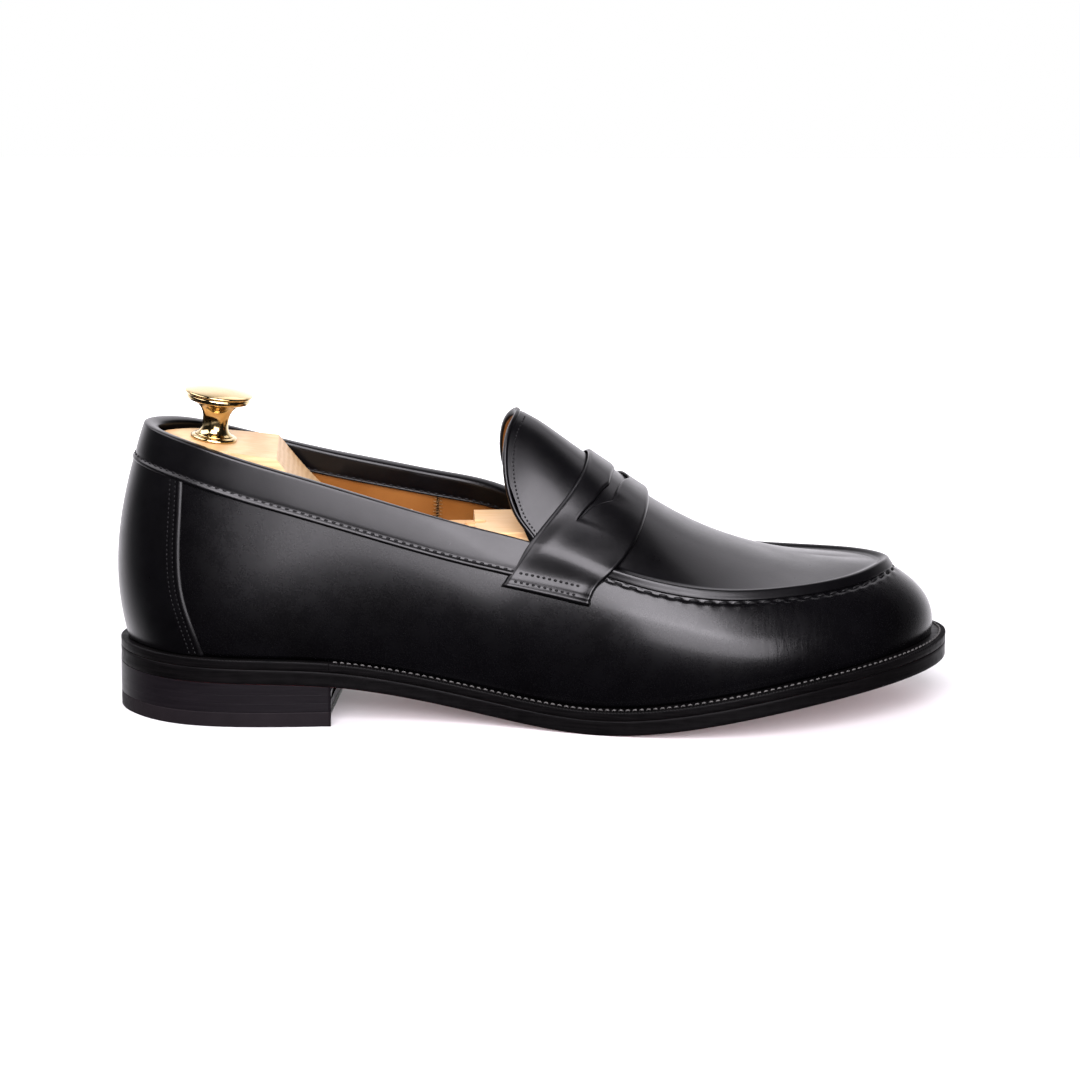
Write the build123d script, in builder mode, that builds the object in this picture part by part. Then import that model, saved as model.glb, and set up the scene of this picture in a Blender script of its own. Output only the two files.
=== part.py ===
from build123d import *
from math import acos, atan2, cos, degrees, hypot, radians, sin, sqrt, tan
import os

import numpy as np

os.makedirs("parts", exist_ok=True)

# A right-foot penny loafer holding a hinged wooden shoe tree.
# Millimetres. +X heel to toe, +Y to the inner (medial) side, +Z up.
# Origin on the ground, under the middle of the shoe's length and width.

# ---------------------------------------------------------------- driving sizes
SPINE = 100.0          # half length of the line that the fan of section planes stands on
AXIS_Y = 1.35          # offset of the heel's centre line

TOP_LIFT = 5.5         # rubber heel piece
LIFT = 3.0             # one leather heel lift
OUTSOLE = 5.5
WELT = 3.4
MARGIN = 1.35          # upper leather, also where it is turned in under the insole
INSOLE = 2.6
SOCK = 1.0
GLUE = 0.06            # gap between neighbouring flat layers
WELT_TOP = OUTSOLE + WELT
INSOLE_BASE = WELT_TOP + MARGIN + 2 * GLUE
FLOOR = INSOLE_BASE + INSOLE + GLUE
BREAST_X = -73.0       # front of the heel
TURN_IN = 9.0          # width of upper leather turned in under the insole
RIB_WIDTH = 2.8        # rib under the insole that the welt is sewn to
NAIL_R = 1.0           # nails through the heel
TACK_R = 0.8           # nails of the rubber heel piece

UPPER = 1.35           # leather of wall and apron
BAND = 0.9             # collar, counter cover and strap backing leather
LINING = 0.9
STIFFENER = 1.1        # heel counter and toe puff
STRAP = 1.2
SLIP = 0.1             # gap between neighbouring layers of the upper
COLLAR_DEPTH = 13.0    # outer leg of the collar band below the topline
FACING_DEPTH = 8.5     # its inner leg

TREE_Y = 1.5
PIN = (-50.0, 60.0)    # tree hinge, x and z
HEEL_ARC = 91.0        # back of the heel block, about the hinge
TONGUE = 13.0          # width of the tree's two narrow tongues
PLATE = 3.2
PIN_R = 1.5
CLEARANCE = 0.06       # running fit of the hinge pin
RIVET_R = 1.5          # rivets of the hinge plate
SCREW_R = 2.0          # screw up into the knob
KNOB_X = -114.7        # where the knob stands on the heel block

# Sole edge seen from above, heel, then lateral side, toe and medial side.
OUTLINE = [
    (-148.4, 0), (-141, -18), (-124, -30), (-104, -33.5), (-75, -33), (-45, -32.5), (-15, -36),
    (15, -44), (45, -51), (70, -52.7), (97, -47), (120, -35), (138, -18.5), (148.4, 4), (145, 19),
    (130, 33), (108, 43), (80, 49), (55, 49.8), (30, 44.5), (5, 36), (-25, 29.5), (-55, 28.5),
    (-85, 31), (-108, 32.5), (-126, 28.5), (-142, 16.5)]
# Underside of the outsole from the side, x and z.
TREAD = [
    (-153, 16.7), (-110, 15.8), (-73, 14.2), (-40, 8.8), (-10, 2.9), (19, 0), (50, 3.2), (80, 8.7),
    (110, 12.9), (153, 16.5)]
# Topline at the back, running on under the strap into the apron seam.
RIM = [
    (-138.2, 0, 102.4), (-132, -14, 101.2), (-121.3, -21.5, 98.7), (-111.6, -24.8, 95.9),
    (-98.3, -26.5, 92), (-83, -27.5, 87.7), (-54.6, -28, 79.2), (-35.4, -28, 73.5),
    (-21, -28, 69.6), (-5.6, -28.8, 65.7), (8, -31.8, 61.8), (24.8, -36.8, 57), (37.9, -39.3, 53.6),
    (55.3, -39.8, 50.4), (69.4, -38, 49.2), (83.8, -34, 49), (98.5, -27.7, 49.3),
    (110.2, -20, 49.9), (120.5, -8.5, 50.8), (125.7, 3.5, 50.6), (122.5, 13, 50.2),
    (114, 22.3, 49.4), (98, 31, 48.4), (78, 37, 48.2), (58, 38.5, 49.8), (38, 37, 53.2),
    (24, 34.5, 57), (8, 31.5, 63), (-5, 30, 69), (-11.5, 29.5, 71.9), (-34.4, 28.5, 77.6),
    (-54.3, 28, 81.8), (-69, 27.8, 84.8), (-89.8, 27, 89.7), (-111.6, 24.8, 95.7),
    (-121.3, 21.3, 98.6), (-132, 13.5, 101.2)]
# Middle line of the tongue and apron, x and z.
RIDGE = [
    (-20, 111), (-14, 109.3), (-6.5, 106.3), (0, 102.9), (8, 97.3), (16.7, 90.9), (28, 82.9),
    (41, 73.9), (58.6, 64), (73, 58.3), (85, 54.9), (100, 52.6)]
# How the upper rises from the welt, by angle from the toe: distance inside the sole edge,
# lean and fullness at the welt, lean and fullness at the rim, slope of the crown at the rim.
RISE = [
    (0, 5.3, 10, .42, 58, .36, 9), (35, 5.3, 12, .42, 52, .36, 11), (60, 5.5, 16, .40, 46, .34, 18),
    (75, 5.2, 18, .38, 40, .34, 42), (90, 4.0, 16, .36, 28, .36, 58), (105, 3.4, 14, .34, 18, .38, 70),
    (125, 3.0, 14, .33, 12, .38, 76), (150, 3.3, 15, .33, 13, .38, 76), (180, 3.8, 16, .33, 18, .38, 72)]


# ---------------------------------------------------------------- curves and surfaces
def smooth(points, period=None):
    """A cubic spline through (place, value) points: a function of place, or of its slope."""
    if period:
        points = points + [(points[0][0] + period, points[0][1])]
    x, y = np.array(points, float).T
    last = len(x) - 1
    step = np.diff(x)
    rise = np.diff(y) / step
    matrix = np.eye(last + 1)
    right = np.zeros(last + 1)
    for i in range(1, last):
        matrix[i, i - 1:i + 2] = step[i - 1], 2 * (step[i - 1] + step[i]), step[i]
        right[i] = 6 * (rise[i] - rise[i - 1])
    if period:
        matrix[0, last] = -1
        matrix[last] = 0
        matrix[last, [0, 1]] = 2 * step[0], step[0]
        matrix[last, [last - 1, last]] = step[-1], 2 * step[-1]
        right[last] = 6 * (rise[0] - rise[-1])
    bend = np.linalg.solve(matrix, right)

    def value(t, slope=False):
        if period:
            t = x[0] + (t - x[0]) % period
        i = int(np.clip(np.searchsorted(x, t) - 1, 0, last - 1))
        a, b, h = t - x[i], x[i + 1] - t, step[i]
        low, high = y[i] / h - bend[i] * h / 6, y[i + 1] / h - bend[i + 1] * h / 6
        if slope:
            return (bend[i + 1] * a * a - bend[i] * b * b) / (2 * h) - low + high
        return (bend[i] * b ** 3 + bend[i + 1] * a ** 3) / (6 * h) + low * b + high * a

    return value


def bisect(test, low, high):
    """The place between low and high where test changes sign."""
    first = test(low) > 0
    for _ in range(44):
        middle = (low + high) / 2
        if (test(middle) > 0) == first:
            low = middle
        else:
            high = middle
    return (low + high) / 2


def spine(angle):
    """Foot of the section plane at this angle (0 at the toe, 180 at the heel, minus is lateral)."""
    return SPINE * cos(radians(angle)), AXIS_Y + 2.5 + 2.5 * cos(radians(angle))


def angle_of(x, y):
    """Angle of the section plane through a point seen from above."""
    def miss(angle):
        foot = spine(angle)
        return (degrees(atan2(y - foot[1], x - foot[0])) - angle + 180) % 360 - 180

    near = min(range(-180, 180, 2), key=lambda angle: abs(miss(angle)))
    return bisect(miss, near - 3, near + 3)


def reach(x, y):
    """Angle and distance from the spine of a point seen from above."""
    angle = angle_of(x, y)
    foot = spine(angle)
    return angle, (x - foot[0]) * cos(radians(angle)) + (y - foot[1]) * sin(radians(angle))


def ring(points, height=False):
    """Spline round the shoe, by angle, of the points' reach from the spine, or of their height."""
    rows = []
    for point in points:
        angle, distance = reach(point[0], point[1] + AXIS_Y)
        rows.append((angle % 360, point[2] if height else distance))
    return smooth(sorted(rows), 360)


def both_sides(rows, column):
    """Spline round the shoe of a value that is the same on both sides."""
    half = [(row[0], row[column]) for row in rows]
    return smooth(half + [(360 - angle, value) for angle, value in half[-2:0:-1]], 360)


edge_reach = ring(OUTLINE)
rim_reach = ring(RIM)
rim_height = ring(RIM, height=True)
tread = smooth(TREAD)
ridge = smooth(RIDGE)
inset, foot_lean, foot_full, rim_lean, rim_full, crown_slope = [both_sides(RISE, k) for k in range(1, 7)]


def tread_at(x):
    return tread(min(max(x, TREAD[0][0]), TREAD[-1][0]))


def curve_point(control, t, depth):
    """Point of a Bezier arc in a section plane, moved in by depth; straight on before its start."""
    p0, p1, p2, p3 = [np.array(p) for p in control]
    if t < 0:
        slope = 3 * (p1 - p0)
        point = p0 + slope * t
    else:
        a = 1 - t
        point = a ** 3 * p0 + 3 * a * a * t * p1 + 3 * a * t * t * p2 + t ** 3 * p3
        slope = a * a * (p1 - p0) + 2 * a * t * (p2 - p1) + t * t * (p3 - p2)
    size = hypot(*slope)
    return float(point[0] - depth * slope[1] / size), float(point[1] + depth * slope[0] / size)


def feather(angle):
    """Reach and height of the line where the upper meets the welt."""
    distance = edge_reach(angle) - inset(angle)
    return distance, tread_at(spine(angle)[0] + distance * cos(radians(angle))) + WELT_TOP + GLUE


def wall(angle, t, depth=0.0):
    """Reach and height on the side of the upper: t is 0 at the welt and 1 at the rim."""
    r0, z0 = feather(angle)
    r1, z1 = rim_reach(angle), rim_height(angle)
    span = hypot(r1 - r0, z1 - z0)
    low, high = radians(foot_lean(angle)), radians(rim_lean(angle))
    low_arm, high_arm = foot_full(angle) * span, rim_full(angle) * span
    control = ((r0, z0), (r0 + low_arm * sin(low), z0 + low_arm * cos(low)),
               (r1 + high_arm * sin(high), z1 - high_arm * cos(high)), (r1, z1))
    return curve_point(control, t, depth)


def crown(angle, t, depth=0.0):
    """Reach and height over the foot: t is 0 at the rim and 1 on the middle line."""
    r1, z1 = rim_reach(angle), rim_height(angle)
    x = min(max(spine(angle)[0], RIDGE[0][0]), RIDGE[-1][0])
    top, climb = ridge(x), ridge(x, slope=True) * cos(radians(angle))
    slope = radians(crown_slope(angle))
    arm = min(.33 * r1 / cos(slope), .42 * hypot(r1, top - z1))
    control = ((r1, z1), (r1 - arm * cos(slope), z1 + arm * sin(slope)),
               (.42 * r1, top + climb * .42 * r1), (0, top))
    return curve_point(control, t, depth)


def drop_on_wall(angle, drop):
    """Where on the wall its height is this far below the rim."""
    return bisect(lambda t: wall(angle, t)[1] - rim_height(angle) + drop, .3, 1)


def crown_height(x, y, depth):
    """Height over the foot above or below a plan point."""
    angle, distance = reach(x, y)
    t = bisect(lambda t: crown(angle, t, depth)[0] - distance, -.5, 1)
    return crown(angle, t, depth)[1]


def across(surface, x, t, depth, side):
    """(y, z) where a line of constant t on the wall or crown crosses the plane at x."""
    def place(angle):
        distance, height = surface(angle * side, t, depth)
        foot = spine(angle * side)
        a = radians(angle * side)
        return foot[0] + distance * cos(a), foot[1] + distance * sin(a), height

    angle = bisect(lambda angle: place(angle)[0] - x, 2, 178)
    return place(angle)[1:]


def ease(value, low, high):
    """0 below low, 1 above high, smooth between."""
    share = min(max((value - low) / (high - low), 0), 1)
    return share * share * (3 - 2 * share)


def turn(angle):
    """Angle away from the toe, 0 to 180."""
    return abs((angle + 180) % 360 - 180)


def lining_depth(angle):
    """Outer face of the lining: deeper where the toe puff or heel counter lies under it."""
    stiff = max(1 - ease(turn(angle), 36, 52), ease(turn(angle), 106, 120))
    return UPPER + SLIP + (STIFFENER + SLIP) * stiff


# ---------------------------------------------------------------- drawing helpers
def fan_plane(angle):
    a = radians(angle)
    foot = spine(angle)
    return Plane(origin=(foot[0], foot[1], 0), x_dir=(cos(a), sin(a), 0), z_dir=(sin(a), -cos(a), 0))


def cross_plane(x):
    """Plane across the shoe: local x is +Y, local y is +Z."""
    return Plane(origin=(x, 0, 0), x_dir=(0, 1, 0), z_dir=(1, 0, 0))


SIDE = Plane(origin=(0, 0, 0), x_dir=(1, 0, 0), z_dir=(0, -1, 0))


def draw(*runs):
    """Draws runs of points end to end: a spline through three or more, else a line."""
    for run in runs:
        if len(run) > 2:
            Spline(*run)
        else:
            Line(*run)


def fan(first, last, step=5):
    """Angles from first to last, evenly spread."""
    count = max(2, round(abs(last - first) / step))
    return [first + (last - first) * i / count for i in range(count + 1)]


def plan(extra, use_feather=True):
    """Closed plan curve this far inside the feather line, or inside the sole's edge."""
    points = []
    for angle in range(0, 360, 9):
        distance = edge_reach(angle) - (inset(angle) if use_feather else 0) - extra
        foot = spine(angle)
        points.append((foot[0] + distance * cos(radians(angle)), foot[1] + distance * sin(radians(angle))))
    Spline(*points, periodic=True)


def band(low, high, first=-152.0, last=152.0):
    """Side view of a sole layer, between two heights above the tread."""
    count = max(4, round((last - first) / 12))
    xs = [first + (last - first) * i / count for i in range(count + 1)]
    bottom = [(x, tread_at(x) + low) for x in xs]
    top = [(x, tread_at(x) + high) for x in xs]
    draw(bottom, (bottom[-1], top[-1]), top[::-1], (top[0], bottom[0]))


def strip(surface, angle, places, outer, inner):
    """Closed section of one leather layer between two depths."""
    out = [surface(angle, t, outer) for t in places]
    back = [surface(angle, t, inner) for t in places][::-1]
    draw(out, (out[-1], back[0]), back, (back[-1], out[0]))


def steps(low, high, count=6):
    return [low + (high - low) * i / count for i in range(count + 1)]


def heel_region():
    """Plan of everything behind the curved heel breast."""
    corner, middle, far = (BREAST_X - .5, -40), (BREAST_X, -1), (BREAST_X + 8.5, 40)
    ThreePointArc(corner, middle, far)
    Polyline(far, (-160, 40), (-160, -40), corner)


HEEL_NAILS = [(-130, 1.5), (-118, -14), (-118, 17), (-96, -17), (-96, 20)]
LIFT_NAILS = [(-141, 1.5), (-135, -14), (-135, 17), (-116, -25), (-116, 27.5), (-90, -27), (-90, 27.5)]


def finish(piece, name):
    piece.part.label = name
    export_step(piece.part, f"parts/{name}.step")


# ---------------------------------------------------------------- bottom
with BuildPart() as outsole:
    with BuildSketch():
        with BuildLine():
            plan(0, use_feather=False)
        make_face()
    extrude(amount=40)
    with BuildSketch(SIDE):
        with BuildLine():
            band(0, OUTSOLE - GLUE)
        make_face()
    extrude(amount=80, both=True, mode=Mode.INTERSECT)
    with BuildSketch():
        with Locations(*HEEL_NAILS):
            Circle(NAIL_R)
    extrude(amount=40, mode=Mode.SUBTRACT)
finish(outsole, "outsole")


def ring_layer(region_x, behind):
    """Ring of welt height round the edge, kept behind or ahead of a line across the shoe."""
    with BuildPart() as layer:
        with BuildSketch():
            with BuildLine():
                plan(0, use_feather=False)
            make_face()
            with BuildLine():
                plan(TURN_IN + .3)
            make_face(mode=Mode.SUBTRACT)
        extrude(amount=40)
        with BuildSketch(SIDE):
            with BuildLine():
                if behind:
                    band(OUTSOLE, WELT_TOP, last=region_x)
                else:
                    band(OUTSOLE, WELT_TOP, first=region_x)
            make_face()
        extrude(amount=80, both=True, mode=Mode.INTERSECT)
    return layer


welt = ring_layer(BREAST_X + .2, behind=False)
finish(welt, "welt")
heel_rand = ring_layer(BREAST_X - .2, behind=True)
finish(heel_rand, "heel_rand")

with BuildPart() as insole_rib:
    with BuildSketch():
        with BuildLine():
            plan(TURN_IN + .5)
        make_face()
        with BuildLine():
            plan(TURN_IN + .5 + RIB_WIDTH)
        make_face(mode=Mode.SUBTRACT)
    extrude(amount=40)
    with BuildSketch(SIDE):
        with BuildLine():
            band(OUTSOLE, INSOLE_BASE - GLUE, first=BREAST_X)
        make_face()
    extrude(amount=80, both=True, mode=Mode.INTERSECT)
finish(insole_rib, "insole_rib")

with BuildPart() as cork_filler:
    with BuildSketch():
        with BuildLine():
            plan(TURN_IN + .7 + RIB_WIDTH)
        make_face()
    extrude(amount=40)
    with BuildSketch(SIDE):
        with BuildLine():
            band(OUTSOLE, INSOLE_BASE - GLUE)
        make_face()
    extrude(amount=80, both=True, mode=Mode.INTERSECT)
    with BuildSketch(SIDE):
        with BuildLine():
            band(OUTSOLE + 1.4, OUTSOLE + 6, first=-102, last=-4)
        make_face()
    extrude(amount=7.1, both=True, mode=Mode.SUBTRACT)
    with BuildSketch():
        with Locations(*HEEL_NAILS):
            Circle(NAIL_R)
    extrude(amount=40, mode=Mode.SUBTRACT)
finish(cork_filler, "cork_filler")

with BuildPart() as shank:
    with BuildSketch(SIDE):
        with BuildLine():
            band(OUTSOLE + 1.45, OUTSOLE + 2.95, first=-101, last=-5)
        make_face()
    extrude(amount=7, both=True)
    fillet(shank.edges().filter_by(Axis.Z), 5)
    with BuildSketch():
        with Locations(HEEL_NAILS[3], HEEL_NAILS[4]):
            Circle(NAIL_R)
    extrude(amount=40, mode=Mode.SUBTRACT)
finish(shank, "shank")

with BuildPart() as insole:
    with BuildSketch():
        with BuildLine():
            plan(4.2)
        make_face()
    extrude(amount=45)
    with BuildSketch(SIDE):
        with BuildLine():
            band(INSOLE_BASE, INSOLE_BASE + INSOLE)
        make_face()
    extrude(amount=80, both=True, mode=Mode.INTERSECT)
    with BuildSketch():
        with Locations(*HEEL_NAILS):
            Circle(NAIL_R)
    extrude(amount=45, mode=Mode.SUBTRACT)
finish(insole, "insole")

with BuildPart() as sock_lining:
    with BuildSketch():
        with BuildLine():
            plan(4.9)
        make_face()
    extrude(amount=45)
    with BuildSketch(SIDE):
        with BuildLine():
            band(FLOOR, FLOOR + SOCK, last=-25)
        make_face()
    extrude(amount=80, both=True, mode=Mode.INTERSECT)
finish(sock_lining, "sock_lining")

lift_bases = [TOP_LIFT + GLUE + i * (LIFT + GLUE) for i in range(3)]
for number, base in enumerate(lift_bases, start=1):
    with BuildPart() as heel_lift:
        with BuildSketch(Plane.XY.offset(base)):
            with BuildLine():
                plan(0, use_feather=False)
            make_face()
            with BuildLine():
                heel_region()
            make_face(mode=Mode.INTERSECT)
        extrude(amount=LIFT if number < 3 else 12)
        if number == 3:
            with BuildSketch(SIDE):
                with BuildLine():
                    band(-12, -GLUE)
                make_face()
            extrude(amount=80, both=True, mode=Mode.INTERSECT)
        with BuildSketch():
            with Locations(*HEEL_NAILS):
                Circle(NAIL_R)
            if number == 1:
                with Locations(*LIFT_NAILS):
                    Circle(TACK_R)
        extrude(amount=40, mode=Mode.SUBTRACT)
    finish(heel_lift, f"heel_lift_{number}")

with BuildPart() as top_lift:
    with BuildSketch():
        with BuildLine():
            plan(0, use_feather=False)
        make_face()
        with BuildLine():
            heel_region()
        make_face(mode=Mode.INTERSECT)
        with Locations(*LIFT_NAILS):
            Circle(TACK_R, mode=Mode.SUBTRACT)
    extrude(amount=TOP_LIFT)
finish(top_lift, "top_lift")

with BuildPart() as top_lift_nails:
    with BuildSketch(Plane.XY.offset(.3)):
        with Locations(*LIFT_NAILS):
            Circle(TACK_R)
    extrude(amount=TOP_LIFT + LIFT - .3)
finish(top_lift_nails, "top_lift_nails")

with BuildPart() as heel_nails:
    for x, y in HEEL_NAILS:
        with BuildSketch(Plane.XY.offset(TOP_LIFT + GLUE)):
            with Locations((x, y)):
                Circle(NAIL_R)
        extrude(amount=tread_at(x) + INSOLE_BASE + INSOLE - TOP_LIFT - GLUE - .4)
finish(heel_nails, "heel_nails")


# ---------------------------------------------------------------- upper
def vamp_top(angle):
    """How far the wall's edge lies below the rim: under the apron's lap, the strap or the collar."""
    lap = 2.1 + 2.1 * ease(turn(angle), 62, 78)
    return lap + (1.1 - lap) * ease(turn(angle), 95, 101)


def turned_in(angle, distance, height):
    """Reach and height of a point this far above the welt, where the upper goes under the insole."""
    x = spine(angle)[0] + distance * cos(radians(angle))
    return distance, tread_at(x) + WELT_TOP + height


with BuildPart() as vamp:
    for angle in fan(-179.6, 179.6):
        with BuildSketch(fan_plane(angle)):
            with BuildLine():
                top = drop_on_wall(angle, vamp_top(angle))
                inner_edge = feather(angle)[0] - TURN_IN
                places = (0, .12, .3, .5, .7, .87, top)
                out = [wall(angle, t) for t in places]
                back = [wall(angle, t, UPPER) for t in places[:0:-1]]
                back.append(turned_in(angle, wall(angle, .02, UPPER)[0], GLUE + MARGIN))
                foot_top = turned_in(angle, inner_edge, GLUE + MARGIN)
                foot_end = turned_in(angle, inner_edge, GLUE)
                draw(out, (out[-1], back[0]), back, (back[-1], foot_top), (foot_top, foot_end))
                draw((foot_end, out[0]))
            make_face()
    loft()
finish(vamp, "vamp")

with BuildPart() as heel_counter:
    for angle in fan(122, 238):
        with BuildSketch(fan_plane(angle)):
            with BuildLine():
                strip(wall, angle, steps(.05, .5), UPPER + SLIP, UPPER + SLIP + STIFFENER)
            make_face()
    loft()
finish(heel_counter, "heel_counter")

with BuildPart() as toe_puff:
    for angle in fan(-33, 33):
        with BuildSketch(fan_plane(angle)):
            with BuildLine():
                strip(wall, angle, steps(.06, .9), UPPER + SLIP, UPPER + SLIP + STIFFENER)
            make_face()
    loft()
finish(toe_puff, "toe_puff")

with BuildPart() as quarter_lining:
    for angle in fan(106, 254):
        with BuildSketch(fan_plane(angle)):
            with BuildLine():
                depth = lining_depth(angle)
                strip(wall, angle, steps(.04, drop_on_wall(angle, 1.1)), depth, depth + LINING)
            make_face()
    loft()
finish(quarter_lining, "quarter_lining")

LINING_LAP = 4.6       # the vamp lining ends this far below the rim, under the collar and apron

with BuildPart() as vamp_lining:
    for angle in fan(-105.5, 105.5):
        with BuildSketch(fan_plane(angle)):
            with BuildLine():
                depth = lining_depth(angle)
                strip(wall, angle, steps(.04, drop_on_wall(angle, LINING_LAP)), depth, depth + LINING)
            make_face()
    loft()
finish(vamp_lining, "vamp_lining")

# The counter cover's front seam, seen from the side.
COVER_SEAM = [(-124, 100), (-125.1, 74.5), (-125.7, 60.7), (-124.4, 46.2), (-120.1, 32.5), (-116, 20)]

with BuildPart() as counter_cover:
    for angle in fan(128, 232):
        with BuildSketch(fan_plane(angle)):
            with BuildLine():
                low_edge = drop_on_wall(angle, COLLAR_DEPTH + .15)
                strip(wall, angle, steps(.01, low_edge), -SLIP - BAND, -SLIP)
            make_face()
    loft()
    with BuildSketch(SIDE):
        with BuildLine():
            draw(COVER_SEAM)
            Polyline(COVER_SEAM[-1], (-160, 20), (-160, 100), COVER_SEAM[0])
        make_face()
    extrude(amount=60, both=True, mode=Mode.INTERSECT)
finish(counter_cover, "counter_cover")

collar_ends = [angle_of(-2, -28.9 + AXIS_Y), angle_of(-5, 30 + AXIS_Y)]

with BuildPart() as collar_band:
    for angle in fan(collar_ends[1], collar_ends[0] + 360):
        with BuildSketch(fan_plane(angle)):
            with BuildLine():
                outside, inside = -SLIP - BAND, lining_depth(angle) + LINING + SLIP
                low_edge, under = drop_on_wall(angle, COLLAR_DEPTH), drop_on_wall(angle, .8)
                facing = drop_on_wall(angle, FACING_DEPTH)
                skin = [wall(angle, t, outside) for t in steps(low_edge, 1, 3)]
                lip = [wall(angle, t, inside + BAND) for t in steps(1, facing, 3)]
                fold = wall(angle, 1, (outside + inside + BAND) / 2)
                up = [wall(angle, t, inside) for t in steps(facing, under, 3)]
                down = [wall(angle, t, -SLIP) for t in steps(under, low_edge, 3)]
                draw(skin)
                ThreePointArc(skin[-1], (fold[0], fold[1] + .9), lip[0])
                draw(lip, (lip[-1], up[0]), up, (up[-1], down[0]), down, (down[-1], skin[0]))
            make_face()
    loft()
finish(collar_band, "collar_band")


def rim_across(x):
    """The rim's two sides at x: lateral y and medial y."""
    return [across(wall, x, 1, 0, side)[0] for side in (-1, 1)]


def crown_sheet(x, outer, inner):
    """Section across the shoe of one layer over the foot, a little wider than the apron."""
    left, right = rim_across(min(x, 119))
    middle = spine(min(max(angle_of(x, AXIS_Y + 2.5), -180), 180))[1]
    shares = (1.09, 1, .94, .84, .7, .5, .25)
    ys = [middle + (left - middle) * s for s in shares] + [middle]
    ys += [middle + (right - middle) * s for s in shares[::-1]]
    out = [(y, crown_height(x, y, outer)) for y in ys]
    back = [(y, crown_height(x, y, inner)) for y in ys][::-1]
    draw(out, (out[-1], back[0]), back, (back[-1], out[0]))


# Free edge of the tongue, seen from the side.
TONGUE_EDGE = [(4, 58), (-2.5, 67.5), (-7.6, 74), (-10.5, 80.9), (-11.9, 89), (-11.8, 95.6), (-10.2, 102.1),
               (-5, 108.5)]
SHEET_XS = (-14, -8, 0, 8, 16, 24, 33, 42, 51, 60, 69, 78, 87, 95, 103, 111, 118, 124, 129)


def crown_layer(outer, inner, beyond):
    """Apron-shaped layer: a sheet over the foot, cut to the seam and to the tongue's edge."""
    with BuildPart() as layer:
        for x in SHEET_XS:
            with BuildSketch(cross_plane(x)):
                with BuildLine():
                    crown_sheet(x, outer, inner)
                make_face()
        loft()
        with BuildSketch():
            with BuildLine():
                seam = []
                for angle in fan(-99, 99, 9):
                    distance = rim_reach(angle) + beyond
                    foot = spine(angle)
                    a = radians(angle)
                    seam.append((foot[0] + distance * cos(a), foot[1] + distance * sin(a)))
                Spline(*seam)
                Polyline(seam[-1], (-22, seam[-1][1]), (-22, seam[0][1]), seam[0])
            make_face()
        extrude(amount=130, mode=Mode.INTERSECT)
        with BuildSketch(SIDE):
            with BuildLine():
                draw(TONGUE_EDGE)
                Polyline(TONGUE_EDGE[-1], (20, 125), (135, 125), (135, 20), (4, 20), TONGUE_EDGE[0])
            make_face()
        extrude(amount=60, both=True, mode=Mode.INTERSECT)
    return layer


apron = crown_layer(0, UPPER, .6)
finish(apron, "apron")
tongue_lining = crown_layer(UPPER + SLIP, UPPER + SLIP + LINING, -3.2)
finish(tongue_lining, "tongue_lining")


def saddle_sheet(x, outer, inner):
    """Section across the shoe of one layer laid over wall and crown."""
    def side_points(depth, side):
        low = [across(wall, x, t, depth, side) for t in (.42, .55, .68, .8, .91)]
        high = [across(crown, x, t, depth, side) for t in (.06, .2, .37, .56, .77)]
        return low + high

    def whole(depth):
        return side_points(depth, -1) + [across(crown, x, 1, depth, -1)] + side_points(depth, 1)[::-1]

    out, back = whole(outer), whole(inner)[::-1]
    draw(out, (out[-1], back[0]), back, (back[-1], out[0]))


# The strap's four edges seen from the side, from its lower back corner round by the ridge.
STRAP_BACK = [(-14, 51.4), (-1.4, 69), (17.6, 91.1), (21, 97)]
STRAP_FRONT = [(44, 83), (40.3, 77.3), (35.2, 68.8), (24.9, 57.6), (18.5, 51.2), (16.7, 46)]


def saddle_layer(outer, inner, back, front):
    """Strap-shaped layer, cut to its outline seen from the side."""
    with BuildPart() as layer:
        for x in range(-20, 49, 4):
            with BuildSketch(cross_plane(x)):
                with BuildLine():
                    saddle_sheet(x, outer, inner)
                make_face()
        loft()
        with BuildSketch(SIDE):
            with BuildLine():
                draw(back, (back[-1], front[0]), front, (front[-1], back[0]))
            make_face()
        extrude(amount=70, both=True, mode=Mode.INTERSECT)
    return layer


strap_base = saddle_layer(-3 * SLIP - BAND - STRAP, -3 * SLIP - BAND, STRAP_BACK, STRAP_FRONT)
# The leaf-shaped slot across the ridge, seen from above: its rear edge, then its front edge.
SLOT_BACK = [(13.4, -26.6), (19.7, -21.2), (25, -13.1), (27.8, 2.5), (25, 18.1), (19.7, 26.2), (13.4, 31.6)]
SLOT_FRONT = [[(13.4, 31.6), (20.5, 28.6), (26.1, 24.4)],
              [(26.1, 24.4), (29.1, 13.5), (32.9, 2.5), (29.1, -8.5), (26.1, -19.4)],
              [(26.1, -19.4), (20.5, -23.6), (13.4, -26.6)]]
with BuildPart() as strap:
    add(strap_base.part)
    with BuildSketch():
        with BuildLine():
            draw(SLOT_BACK, SLOT_FRONT[0], SLOT_FRONT[1], SLOT_FRONT[2])
        make_face()
    extrude(amount=120, mode=Mode.SUBTRACT)
finish(strap, "strap")

strap_backing = saddle_layer(-1.8 * SLIP - BAND, -1.8 * SLIP, [(x + 13, z + 1.5) for x, z in STRAP_BACK],
                             [(x - 1.5, z + 1) for x, z in STRAP_FRONT])
finish(strap_backing, "strap_backing")

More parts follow.
